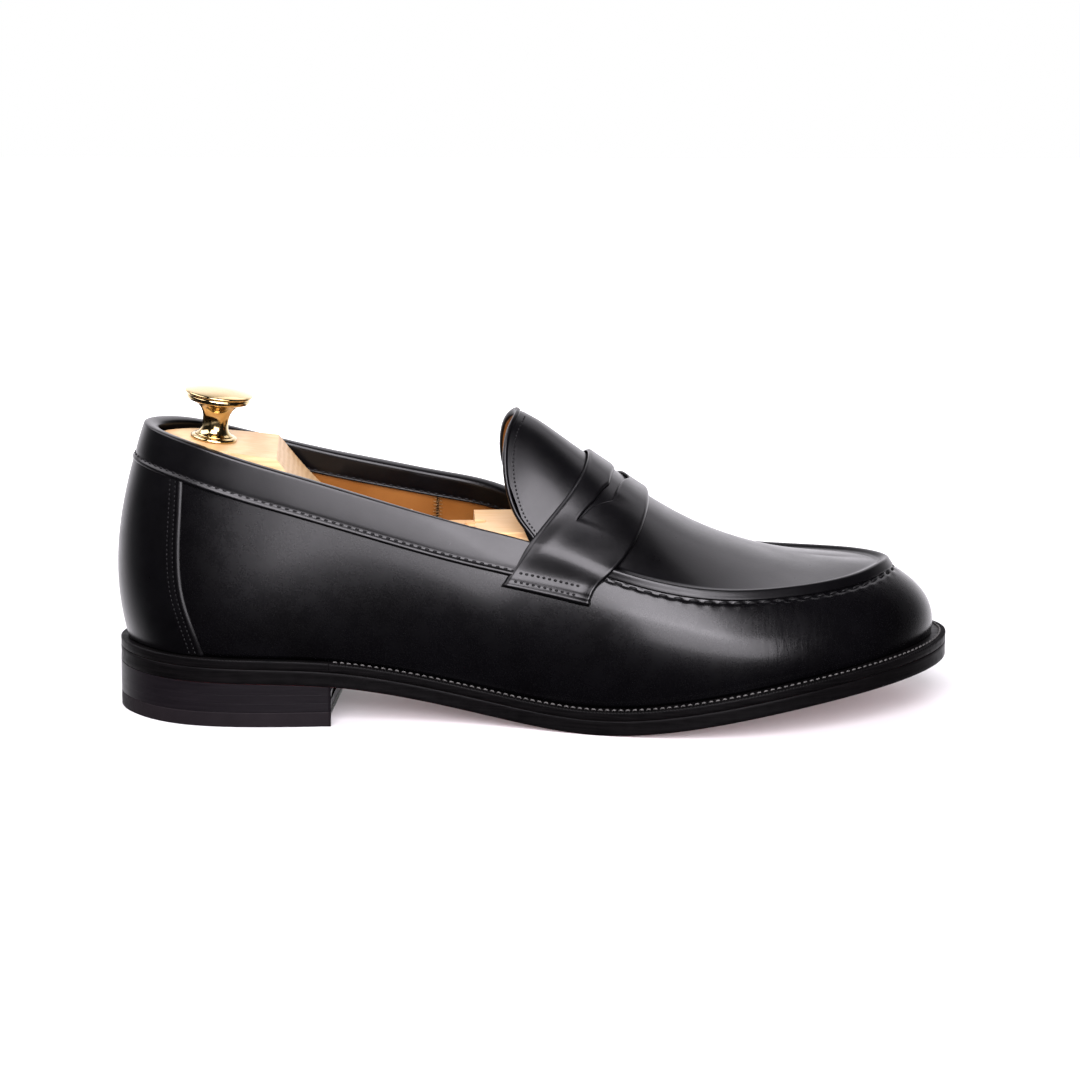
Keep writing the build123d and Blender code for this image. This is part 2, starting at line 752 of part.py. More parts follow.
# ---------------------------------------------------------------- shoe tree
TREE_GAP = 1.0         # between wood and lining
BLOCK_TOP = [(-132.3, 98.7), (-92, 93.6)]
BLOCK_FRONT = [(-92, 93.6), (-85.5, 85.2), (-77.5, 76.2), (-72, 70.9)]
BLOCK_HALF = [(-133, 0), (-129, 8), (-121, 14.2), (-111, 17.8), (-98, 19.8), (-84, 20.8), (-73, 21)]
block_floor = tread_at(-110) + FLOOR + SOCK + .6
tree_side = Plane(origin=(0, TREE_Y, 0), x_dir=(1, 0, 0), z_dir=(0, -1, 0))



def heel_arc(z):
    """Point of the block's back at height z, round the hinge."""
    return PIN[0] - sqrt(HEEL_ARC ** 2 - (z - PIN[1]) ** 2), z


with BuildPart() as tree_heel_block:
    with BuildSketch(Plane.XY.offset(20)):
        with BuildLine():
            half = [(x, TREE_Y + y) for x, y in BLOCK_HALF]
            other = [(x, TREE_Y - y) for x, y in BLOCK_HALF[::-1]]
            Spline(*(other + half[1:]))
            Polyline(half[-1], (-70, TREE_Y + TONGUE / 2), (-42, TREE_Y + TONGUE / 2),
                     (-42, TREE_Y - TONGUE / 2), (-70, TREE_Y - TONGUE / 2), other[0])
        make_face()
    extrude(amount=90)
    with BuildSketch(SIDE):
        with BuildLine():
            block_back = heel_arc(BLOCK_TOP[0][1])
            ThreePointArc(heel_arc(block_floor), heel_arc(PIN[1]), block_back)
            draw((block_back, BLOCK_TOP[1]), BLOCK_FRONT)
            Polyline(BLOCK_FRONT[-1], (-44.3, 69.2), (-42, 66.8), (-42, 52.5), (-60, 50), (-74, 40),
                     (-82, block_floor), heel_arc(block_floor))
        make_face()
    extrude(amount=60, both=True, mode=Mode.INTERSECT)
    with BuildSketch(tree_side):
        Polygon((-57, 45), (-57, 65), (-50, 67), (-40, 67), (-40, 45), align=None)
    extrude(amount=PLATE / 2 + .4, both=True, mode=Mode.SUBTRACT)
    with BuildSketch(SIDE):
        with Locations(PIN):
            Circle(PIN_R)
    extrude(amount=60, both=True, mode=Mode.SUBTRACT)
    lean = degrees(atan2(BLOCK_TOP[0][1] - BLOCK_TOP[1][1], BLOCK_TOP[1][0] - BLOCK_TOP[0][0]))
    knob_z = BLOCK_TOP[0][1] - (KNOB_X - BLOCK_TOP[0][0]) * tan(radians(lean))
    knob_seat = Plane(origin=(KNOB_X, TREE_Y, knob_z), x_dir=(cos(radians(lean)), 0, -sin(radians(lean))),
                      z_dir=(sin(radians(lean)), 0, cos(radians(lean))))
    with BuildSketch(knob_seat):
        Circle(SCREW_R)
    extrude(amount=-24, mode=Mode.SUBTRACT)
finish(tree_heel_block, "tree_heel_block")

knob_profile = Plane(origin=knob_seat.origin, x_dir=knob_seat.x_dir, z_dir=(0, -1, 0))
knob_axis = Axis(knob_seat.origin, knob_seat.z_dir)
BASE_H = 1.6

with BuildPart() as tree_knob_base:
    with BuildSketch(knob_profile):
        with BuildLine():
            Polyline((SCREW_R, GLUE), (8.2, GLUE), (8.2, 1.0))
            ThreePointArc((8.2, 1.0), (8.0, 1.45), (7.5, BASE_H))
            Polyline((7.5, BASE_H), (SCREW_R, BASE_H), (SCREW_R, GLUE))
        make_face()
    revolve(axis=knob_axis)
finish(tree_knob_base, "tree_knob_base")

with BuildPart() as tree_knob:
    with BuildSketch(knob_profile):
        with BuildLine():
            Line((0, 18.7), (0, 10))
            Polyline((0, 10), (SCREW_R, 10), (SCREW_R, BASE_H + GLUE), (6.4, BASE_H + GLUE))
            Spline((6.4, BASE_H + GLUE), (5.0, 3.1), (4.5, 6.6), (4.9, 9.3), (7.0, 12.1), (10.2, 13.9))
            Line((10.2, 13.9), (10.9, 14.1))
            Line((10.9, 14.1), (11.3, 15.6))
            Polyline((11.3, 15.6), (11.0, 15.9), (11.8, 16.3))
            ThreePointArc((11.8, 16.3), (12.0, 16.8), (11.6, 17.2))
            dome = (11.6 ** 2 + 1.5 ** 2) / (2 * 1.5)
            ThreePointArc((11.6, 17.2), (6, 18.7 - dome + sqrt(dome ** 2 - 36)), (0, 18.7))
        make_face()
    revolve(axis=knob_axis)
finish(tree_knob, "tree_knob")

with BuildPart() as tree_knob_screw:
    with BuildSketch(knob_seat.offset(-22)):
        Circle(SCREW_R)
    extrude(amount=31.5)
finish(tree_knob_screw, "tree_knob_screw")

with BuildPart() as tree_hinge_pin:
    with BuildSketch(tree_side.offset(-TONGUE / 2)):
        with Locations(PIN):
            Circle(PIN_R)
    extrude(amount=TONGUE)
finish(tree_hinge_pin, "tree_hinge_pin")

PLATE_RIVETS = [(-31.5, 58), (-26, 58)]

with BuildPart() as tree_hinge_plate:
    with BuildSketch(tree_side):
        with Locations(PIN):
            Circle(3.4)
        Polygon((-50, 56.6), (-50, 63.4), (-38, 61.5), (-11, 61.5), (-11, 54.5), (-38, 54.5), align=None)
        with Locations(PIN):
            Circle(PIN_R + CLEARANCE, mode=Mode.SUBTRACT)
        with Locations(*PLATE_RIVETS):
            Circle(RIVET_R, mode=Mode.SUBTRACT)
    extrude(amount=PLATE / 2, both=True)
finish(tree_hinge_plate, "tree_hinge_plate")

with BuildPart() as tree_plate_rivets:
    with BuildSketch(tree_side.offset(-TONGUE / 2)):
        with Locations(*PLATE_RIVETS):
            Circle(RIVET_R)
    extrude(amount=TONGUE)
finish(tree_plate_rivets, "tree_plate_rivets")


def cavity_section(x):
    """Inside of the shoe across at x, clear of the lining: sides and crown."""
    angle = degrees(acos(x / 150))
    crown_depth = UPPER + SLIP + LINING + TREE_GAP + .8

    def side_points(side):
        wall_depth = lining_depth(side * angle) + LINING + TREE_GAP
        low = [across(wall, x, t, wall_depth, side) for t in (.16, .3, .45, .6, .75, .88)]
        return low + [across(crown, x, t, crown_depth, side) for t in (.2, .4, .65)]

    return side_points(-1) + [across(crown, x, 1, crown_depth, 1)] + side_points(1)[::-1]


forepart_floor = FLOOR + .3

with BuildPart() as tree_forepart:
    for x in (-24, -12, 0, 12, 24, 37, 50, 63, 75, 86):
        with BuildSketch(cross_plane(x)):
            with BuildLine():
                points = cavity_section(x)
                floor_z = tread_at(x) + forepart_floor - 3
                left = (points[0][0] + 2, floor_z)
                right = (points[-1][0] - 2, floor_z)
                draw(points, (points[-1], right), (right, left), (left, points[0]))
            make_face()
    loft()
    with BuildSketch(SIDE):
        with BuildLine():
            xs = [-22 + 10.9 * i for i in range(11)]
            draw([(x, tread_at(x) + forepart_floor) for x in xs])
            Polyline((xs[-1], tread_at(xs[-1]) + forepart_floor), (xs[-1], 67.5), (-22, 66.3),
                     (-22, tread_at(-22) + forepart_floor))
        make_face()
    extrude(amount=60, both=True, mode=Mode.INTERSECT)
    with BuildSketch(cross_plane(-30)):
        Polygon((TREE_Y - 16, 67.6), (TREE_Y + 16, 67.6), (TREE_Y + 42, 46), (TREE_Y + 42, 5),
                (TREE_Y - 42, 5), (TREE_Y - 42, 46), align=None)
    extrude(amount=160, mode=Mode.INTERSECT)
    with BuildSketch(tree_side):
        Polygon((-35, 48), (-35, 65.2), (-20, 65.2), (-20, 44), align=None)
    extrude(amount=TONGUE / 2, both=True)
    with BuildSketch(Plane.XY.offset(63.4)):
        with Locations((-22, TREE_Y)):
            SlotOverall(8, 5.4)
    extrude(amount=10, mode=Mode.SUBTRACT)
    with BuildSketch(tree_side):
        Polygon((-36, 54.4), (-36, 61.6), (-10.9, 61.6), (-10.9, 54.4), align=None)
    extrude(amount=PLATE / 2, both=True, mode=Mode.SUBTRACT)
    with BuildSketch(SIDE):
        with Locations(*PLATE_RIVETS):
            Circle(RIVET_R)
    extrude(amount=60, both=True, mode=Mode.SUBTRACT)
finish(tree_forepart, "tree_forepart")
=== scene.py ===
import math

import bmesh
import bpy
import numpy as np
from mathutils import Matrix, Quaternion, Vector


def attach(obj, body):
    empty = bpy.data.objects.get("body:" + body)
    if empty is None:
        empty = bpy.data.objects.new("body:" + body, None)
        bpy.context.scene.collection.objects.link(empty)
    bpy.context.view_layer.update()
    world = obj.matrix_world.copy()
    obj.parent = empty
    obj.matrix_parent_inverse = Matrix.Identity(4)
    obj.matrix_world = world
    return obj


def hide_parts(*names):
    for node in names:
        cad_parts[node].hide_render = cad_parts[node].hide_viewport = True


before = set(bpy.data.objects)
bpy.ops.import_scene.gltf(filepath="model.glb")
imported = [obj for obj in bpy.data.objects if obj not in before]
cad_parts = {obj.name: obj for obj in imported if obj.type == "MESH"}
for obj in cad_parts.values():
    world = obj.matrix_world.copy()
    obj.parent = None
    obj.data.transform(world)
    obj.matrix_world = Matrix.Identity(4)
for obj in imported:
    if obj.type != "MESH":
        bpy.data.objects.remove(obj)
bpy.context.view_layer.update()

# A right-foot penny loafer holding a hinged wooden shoe tree.
# +X heel to toe, +Y to the inner (medial) side, +Z up. The curves are in millimetres, as in the
# CAD source, and the meshes are made in metres.
MM = 0.001
SIDES = ((-1, "lateral"), (1, "medial"))

# ---------------------------------------------------------------- sizes shared with the CAD part
SPINE = 100.0          # half length of the line that the fan of section planes stands on
AXIS_Y = 1.35          # offset of the heel's centre line
TOP_LIFT = 5.5         # rubber heel piece
LIFT = 3.0             # one leather heel lift
OUTSOLE = 5.5
WELT = 3.4
GLUE = 0.06            # gap between neighbouring flat layers
WELT_TOP = OUTSOLE + WELT
BREAST_X = -73.0       # front of the heel
UPPER = 1.35           # leather of wall and apron
BAND = 0.9             # collar and strap backing leather
LINING = 0.9
STIFFENER = 1.1        # heel counter and toe puff
STRAP = 1.2
SLIP = 0.1             # gap between neighbouring layers of the upper
COLLAR_DEPTH = 13.0    # outer leg of the collar band below the topline
TREE_Y = 1.5

# Sole edge seen from above, heel, then lateral side, toe and medial side.
OUTLINE = [
    (-148.4, 0), (-141, -18), (-124, -30), (-104, -33.5), (-75, -33), (-45, -32.5), (-15, -36),
    (15, -44), (45, -51), (70, -52.7), (97, -47), (120, -35), (138, -18.5), (148.4, 4), (145, 19),
    (130, 33), (108, 43), (80, 49), (55, 49.8), (30, 44.5), (5, 36), (-25, 29.5), (-55, 28.5),
    (-85, 31), (-108, 32.5), (-126, 28.5), (-142, 16.5)]
# Underside of the outsole from the side, x and z.
TREAD = [
    (-153, 16.7), (-110, 15.8), (-73, 14.2), (-40, 8.8), (-10, 2.9), (19, 0), (50, 3.2), (80, 8.7),
    (110, 12.9), (153, 16.5)]
# Topline at the back, running on under the strap into the apron seam.
RIM = [
    (-138.2, 0, 102.4), (-132, -14, 101.2), (-121.3, -21.5, 98.7), (-111.6, -24.8, 95.9),
    (-98.3, -26.5, 92), (-83, -27.5, 87.7), (-54.6, -28, 79.2), (-35.4, -28, 73.5),
    (-21, -28, 69.6), (-5.6, -28.8, 65.7), (8, -31.8, 61.8), (24.8, -36.8, 57), (37.9, -39.3, 53.6),
    (55.3, -39.8, 50.4), (69.4, -38, 49.2), (83.8, -34, 49), (98.5, -27.7, 49.3),
    (110.2, -20, 49.9), (120.5, -8.5, 50.8), (125.7, 3.5, 50.6), (122.5, 13, 50.2),
    (114, 22.3, 49.4), (98, 31, 48.4), (78, 37, 48.2), (58, 38.5, 49.8), (38, 37, 53.2),
    (24, 34.5, 57), (8, 31.5, 63), (-5, 30, 69), (-11.5, 29.5, 71.9), (-34.4, 28.5, 77.6),
    (-54.3, 28, 81.8), (-69, 27.8, 84.8), (-89.8, 27, 89.7), (-111.6, 24.8, 95.7),
    (-121.3, 21.3, 98.6), (-132, 13.5, 101.2)]
# Middle line of the tongue and apron, x and z.
RIDGE = [
    (-20, 111), (-14, 109.3), (-6.5, 106.3), (0, 102.9), (8, 97.3), (16.7, 90.9), (28, 82.9),
    (41, 73.9), (58.6, 64), (73, 58.3), (85, 54.9), (100, 52.6)]
# How the upper rises from the welt, by angle from the toe: distance inside the sole edge,
# lean and fullness at the welt, lean and fullness at the rim, slope of the crown at the rim.
RISE = [
    (0, 5.3, 10, .42, 58, .36, 9), (35, 5.3, 12, .42, 52, .36, 11), (60, 5.5, 16, .40, 46, .34, 18),
    (75, 5.2, 18, .38, 40, .34, 42), (90, 4.0, 16, .36, 28, .36, 58), (105, 3.4, 14, .34, 18, .38, 70),
    (125, 3.0, 14, .33, 12, .38, 76), (150, 3.3, 15, .33, 13, .38, 76), (180, 3.8, 16, .33, 18, .38, 72)]
# Lines on both sides of the upper, from the side, x and z.
COVER_SEAM = [(-124, 100), (-125.1, 74.5), (-125.7, 60.7), (-124.4, 46.2), (-120.1, 32.5), (-116, 20)]
TONGUE_EDGE = [
    (4, 58), (-2.5, 67.5), (-7.6, 74), (-10.5, 80.9), (-11.9, 89), (-11.8, 95.6), (-10.2, 102.1),
    (-5, 108.5)]
STRAP_BACK = [(-14, 51.4), (-1.4, 69), (17.6, 91.1), (21, 97)]
STRAP_FRONT = [(16.7, 46), (18.5, 51.2), (24.9, 57.6), (35.2, 68.8), (40.3, 77.3), (44, 83)]


# ---------------------------------------------------------------- curves and the leather surface
def cubic(points, period=None):
    """A cubic spline through (place, value) points, as a function of an array of places."""
    if period:
        points = points + [(points[0][0] + period, points[0][1])]
    x, y = np.array(points, float).T
    last = len(x) - 1
    step = np.diff(x)
    rise = np.diff(y) / step
    matrix = np.eye(last + 1)
    right = np.zeros(last + 1)
    for i in range(1, last):
        matrix[i, i - 1:i + 2] = step[i - 1], 2 * (step[i - 1] + step[i]), step[i]
        right[i] = 6 * (rise[i] - rise[i - 1])
    if period:
        matrix[0, last] = -1
        matrix[last] = 0
        matrix[last, [0, 1]] = 2 * step[0], step[0]
        matrix[last, [last - 1, last]] = step[-1], 2 * step[-1]
        right[last] = 6 * (rise[0] - rise[-1])
    bend = np.linalg.solve(matrix, right)

    def value(t, slope=False):
        t = np.asarray(t, float)
        if period:
            t = x[0] + (t - x[0]) % period
        i = np.clip(np.searchsorted(x, t) - 1, 0, last - 1)
        a, b, h = t - x[i], x[i + 1] - t, step[i]
        low, high = y[i] / h - bend[i] * h / 6, y[i + 1] / h - bend[i + 1] * h / 6
        if slope:
            return (bend[i + 1] * a * a - bend[i] * b * b) / (2 * h) - low + high
        return (bend[i] * b ** 3 + bend[i + 1] * a ** 3) / (6 * h) + low * b + high * a

    return value


def ease(value, low, high):
    """0 below low, 1 above high, smooth between."""
    share = np.clip((value - low) / (high - low), 0, 1)
    return share * share * (3 - 2 * share)


def bump(value, centre, width):
    """A smooth hill, 1 at its centre and 0 beyond its width."""
    return np.cos(np.clip((value - centre) / width, -1, 1) * math.pi) / 2 + .5


def turn(angle):
    """Angle away from the toe, 0 to 180."""
    return np.abs((np.asarray(angle) + 180) % 360 - 180)


def unit(vectors):
    """The same directions at length 1."""
    return vectors / np.linalg.norm(vectors, axis=-1, keepdims=True)


def run(points, axis=0):
    """Distance from the start along one direction of a grid of points."""
    step = np.linalg.norm(np.diff(points, axis=axis), axis=-1)
    zero = np.zeros_like(np.take(step, [0], axis))
    return np.concatenate([zero, np.cumsum(step, axis)], axis)


def along_line(at, place, values):
    """Vectors given at each place of a line, read at other places."""
    return np.stack([np.interp(at, place, values[:, k]) for k in range(3)], -1)


def through(points, count):
    """Evenly spread points on a smooth curve through a few."""
    points = np.array(points, float)
    place = run(points)
    at = np.linspace(0, place[-1], count)
    return np.stack([cubic(list(zip(place, values)))(at) for values in points.T], -1)


def spine(angle):
    """Foot of the section plane at each angle: 0 at the toe, 180 at the heel, minus is lateral."""
    return SPINE * np.cos(np.radians(angle)), AXIS_Y + 2.5 + 2.5 * np.cos(np.radians(angle))


def reach(x, y):
    """Angle and distance from the spine of a point seen from above."""
    fine = np.arange(-180, 180, .01)
    foot = spine(fine)
    miss = (np.degrees(np.arctan2(y - foot[1], x - foot[0])) - fine + 180) % 360 - 180
    angle = fine[np.argmin(np.abs(miss))]
    foot = spine(angle)
    a = math.radians(angle)
    return angle, (x - foot[0]) * math.cos(a) + (y - foot[1]) * math.sin(a)


def ring(points, height=False):
    """Spline round the shoe, by angle, of the points' reach from the spine, or of their height."""
    rows = []
    for point in points:
        angle, distance = reach(point[0], point[1] + AXIS_Y)
        rows.append((angle % 360, point[2] if height else distance))
    return cubic(sorted(rows), 360)


def both_sides(rows, column):
    """Spline round the shoe of a value that is the same on both sides."""
    half = [(row[0], row[column]) for row in rows]
    return cubic(half + [(360 - angle, value) for angle, value in half[-2:0:-1]], 360)


edge_reach = ring(OUTLINE)
rim_reach = ring(RIM)
rim_height = ring(RIM, height=True)
tread = cubic(TREAD)
ridge = cubic(RIDGE)
inset, foot_lean, foot_full, rim_lean, rim_full, crown_slope = [both_sides(RISE, k) for k in range(1, 7)]


def tread_at(x):
    return tread(np.clip(x, TREAD[0][0], TREAD[-1][0]))


def bezier(control, t):
    """Points of a Bezier arc in each section plane, and its direction there."""
    a = 1 - t
    p0, p1, p2, p3 = control
    point = [a ** 3 * p0[k] + 3 * a * a * t * p1[k] + 3 * a * t * t * p2[k] + t ** 3 * p3[k] for k in (0, 1)]
    way = [a * a * (p1[k] - p0[k]) + 2 * a * t * (p2[k] - p1[k]) + t * t * (p3[k] - p2[k]) for k in (0, 1)]
    size = np.hypot(*way)
    return point, (way[0] / size, way[1] / size)


RIM_BLEND = .07        # share of the wall and crown over which their directions meet at the rim


def section(angle, w, lift):
    """Reach and height in the section plane: w is 0 at the welt, 1 at the rim, 2 on the middle line."""
    cos = np.cos(np.radians(angle))
    r0 = edge_reach(angle) - inset(angle)
    z0 = tread_at(spine(angle)[0] + r0 * cos) + WELT_TOP + GLUE
    r1, z1 = rim_reach(angle), rim_height(angle)
    span = np.hypot(r1 - r0, z1 - z0)
    low, high = np.radians(foot_lean(angle)), np.radians(rim_lean(angle))
    low_arm, high_arm = foot_full(angle) * span, rim_full(angle) * span
    wall = ((r0, z0), (r0 + low_arm * np.sin(low), z0 + low_arm * np.cos(low)),
            (r1 + high_arm * np.sin(high), z1 - high_arm * np.cos(high)), (r1, z1))
    x = np.clip(spine(angle)[0], RIDGE[0][0], RIDGE[-1][0])
    top, climb = ridge(x), ridge(x, slope=True) * cos
    slope = np.radians(crown_slope(angle))
    arm = np.minimum(.33 * r1 / np.cos(slope), .42 * np.hypot(r1, top - z1))
    crown = ((r1, z1), (r1 - arm * np.cos(slope), z1 + arm * np.sin(slope)),
             (.42 * r1, top + climb * .42 * r1), (0 * r1, top))
    on_wall, wall_way = bezier(wall, np.clip(w, 0, 1))
    on_crown, crown_way = bezier(crown, np.clip(w - 1, 0, 1))
    at_rim = [bezier(wall, 1 + 0 * w)[1][k] + bezier(crown, 0 * w)[1][k] for k in (0, 1)]
    share = ease(RIM_BLEND - np.abs(w - 1), 0, RIM_BLEND)
    up = w > 1
    place = [np.where(up, on_crown[k], on_wall[k]) for k in (0, 1)]
    way = [np.where(up, crown_way[k], wall_way[k]) * (1 - share) + at_rim[k] / 2 * share for k in (0, 1)]
    size = np.hypot(*way)
    return place[0] + lift * way[1] / size, place[1] - lift * way[0] / size


def upper(angle, w, lift=0.0):
    """Points on the upper, moved out by lift."""
    given = (np.asarray(value, float) for value in (angle, w, lift))
    angle, w, lift = np.broadcast_arrays(*given)
    distance, height = section(angle, w, lift)
    foot = spine(angle)
    a = np.radians(angle)
    return np.stack([foot[0] + distance * np.cos(a), foot[1] + distance * np.sin(a), height], -1)


W_STEPS = 120          # steps in w, up the wall and again up the crown, for measuring along a section


def w_of(angles, along):
    """w where the distance along each section from the rim is this: minus goes down the wall."""
    angles = np.asarray(angles, float)
    along = np.broadcast_to(along, (len(angles),) + np.shape(along)[-1:])
    table = np.linspace(0, 2, 2 * W_STEPS + 1)
    r, z = section(angles[:, None] + 0 * table, table + 0 * angles[:, None], 0 * table)
    length = run(np.stack([r, z], -1), 1)
    length -= length[:, [W_STEPS]]
    return np.array([np.interp(a, l, table) for a, l in zip(along, length)])


def strip(angles, along, lift):
    """Grid of points at distances along each section from the rim."""
    return upper(np.asarray(angles)[:, None], w_of(angles, along), lift)


def seen_from_side(side, points, lift=0.0):
    """Angle and w of points on one side of the upper, from their x and z."""
    angles = side * np.arange(3, 178, .5)
    ws = np.linspace(0, 2, 161)
    nudge = np.array([.01, 1e-4])
    net = upper(angles[:, None], ws, lift)
    found = []
    for x, z in points:
        i, j = np.unravel_index(np.argmin(np.hypot(net[..., 0] - x, net[..., 2] - z)), net.shape[:2])
        q = np.array([angles[i], ws[j]])
        for _ in range(12):
            trial = upper(q[0] + nudge[0] * np.array([0, 1, 0]), q[1] + nudge[1] * np.array([0, 0, 1]), lift)
            here, *moved = trial[:, [0, 2]]
            jacobian = (np.array(moved) - here).T / nudge
            q = q - np.clip(np.linalg.lstsq(jacobian, here - (x, z), rcond=None)[0], -3, 3)
            q[1] = np.clip(q[1], 0, 2)
        found.append(q)
    return np.array(found)


def mirrored(lateral, medial):
    """One grid from two halves, each running from its foot to the middle line."""
    return np.concatenate([lateral, medial[::-1][1:]])


def lining_depth(angle):
    """Outer face of the lining: deeper where the toe puff or heel counter lies under it."""
    stiff = np.maximum(1 - ease(turn(angle), 36, 52), ease(turn(angle), 106, 120))
    return UPPER + SLIP + (STIFFENER + SLIP) * stiff


# ---------------------------------------------------------------- meshes
def add_object(name, data):
    made = bpy.data.objects.new(name, data)
    bpy.context.scene.collection.objects.link(made)
    return made


def add_piece(name, points, faces, material, body="shoe", nodes=()):
    """A mesh piece from points in millimetres."""
    mesh = bpy.data.meshes.new(name)
    mesh.from_pydata((np.asarray(points, float).reshape(-1, 3) * MM).tolist(), [], faces)
    net = bmesh.new()
    net.from_mesh(mesh)
    bmesh.ops.remove_doubles(net, verts=net.verts, dist=2e-6)
    bmesh.ops.dissolve_degenerate(net, edges=net.edges, dist=1e-6)
    bmesh.ops.recalc_face_normals(net, faces=net.faces)
    for face in net.faces:
        face.smooth = True
    net.to_mesh(mesh)
    net.free()
    mesh.materials.append(material)
    piece = add_object(name, mesh)
    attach(piece, body)
    if nodes:
        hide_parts(*nodes)


def net_faces(n, k, wrap_n=False, wrap_k=False, first=0):
    """Quads of an n by k grid of vertices."""
    i, j = np.meshgrid(np.arange(n if wrap_n else n - 1), np.arange(k if wrap_k else k - 1), indexing="ij")
    i2, j2 = (i + 1) % n, (j + 1) % k
    quads = np.stack([i * k + j, i2 * k + j, i2 * k + j2, i * k + j2], -1) + first
    return quads.reshape(-1, 4).tolist()


def tube_faces(n, k, wrap_n=False, first=0):
    """Faces of a closed solid: n closed sections of k points, with flat ends unless it is a ring."""
    faces = net_faces(n, k, wrap_n, True, first)
    if not wrap_n:
        last = first + (n - 1) * k
        faces += [list(range(first, first + k)), list(range(last, last + k))]
    return faces


def wall_faces(n, k):
    """Faces of a wall that closes on itself, with flat faces over its first and last rows."""
    return net_faces(n, k, True) + [list(range(0, n * k, k)), list(range(k - 1, n * k, k))]


def thick_sheet(name, outer, inner, faces, material, node):
    """A thin solid between two sheets of points that share their faces, walled along every open edge."""
    outer, inner = np.reshape(outer, (-1, 3)), np.reshape(inner, (-1, 3))
    _, first, same = np.unique(np.round(outer, 3), axis=0, return_index=True, return_inverse=True)
    same = first[np.ravel(same)]
    count = len(outer)
    used = {}
    solid = []
    for face in faces:
        face = list(dict.fromkeys(int(same[i]) for i in face))
        if len(face) < 3:
            continue
        solid += [face, [i + count for i in face[::-1]]]
        for a, b in zip(face, face[1:] + face[:1]):
            used[frozenset((a, b))] = None if frozenset((a, b)) in used else (a, b)
    solid += [[pair[1], pair[0], pair[0] + count, pair[1] + count] for pair in used.values() if pair]
    add_piece(name, np.concatenate([outer, inner]), solid, material, nodes=[node])


def sheet_piece(name, outer, inner, material, node):
    thick_sheet(name, outer, inner, net_faces(*outer.shape[:2]), material, node)


THREAD_FLAT = .8       # thickness of a stitch over its width
STITCH_RINGS = 7
STITCH_SIDES = 8


def stitches(name, path, out, pitch, dash, radius, material, slot, rise=.35):
    """A row of thread stitches along a path: each comes up, runs along and goes down."""
    place = run(path)
    count = max(1, int(place[-1] / pitch))
    pitch = place[-1] / count
    share = np.linspace(-1, 1, STITCH_RINGS)
    size = (radius * (1 - .35 * share ** 6))[:, None, None]
    a = (2 * math.pi * np.arange(STITCH_SIDES) / STITCH_SIDES)[:, None]
    points, faces = [], []
    for i in range(count):
        at = (i + .5) * pitch + share * dash / 2
        up = unit(along_line(at, place, out))
        centre = along_line(at, place, path) + up * (radius * rise - radius * 1.5 * share[:, None] ** 4)
        cross = np.cross(unit(np.gradient(centre, axis=0)), up)[:, None]
        around = cross * np.cos(a) + THREAD_FLAT * up[:, None] * np.sin(a)
        faces += tube_faces(STITCH_RINGS, STITCH_SIDES, first=i * STITCH_RINGS * STITCH_SIDES)
        points.append(centre[:, None] + size * around)
    add_piece(name, points, faces, material)


# Pitch, length and radius of the black stitches.
APRON_STITCH = (5.3, 3.4, .44)
TONGUE_STITCH = (1.45, 1.05, .32)
COLLAR_STITCH = (2.8, 1.9, .42)
FACING_STITCH = (2.8, 1.9, .40)
COUNTER_STITCH = (1.62, 1.15, .27)
STRAP_STITCH = (2.0, 1.5, .44)


def black_stitches(name, path, out, size):
    stitches(name, path, out, *size, BLACK_THREAD, "black_calf")


def line_path(angle, w, lift):
    """A line on the upper and the way out from it, for stitches."""
    path = upper(angle, w, lift)
    return path, upper(angle, w, lift + 1) - path


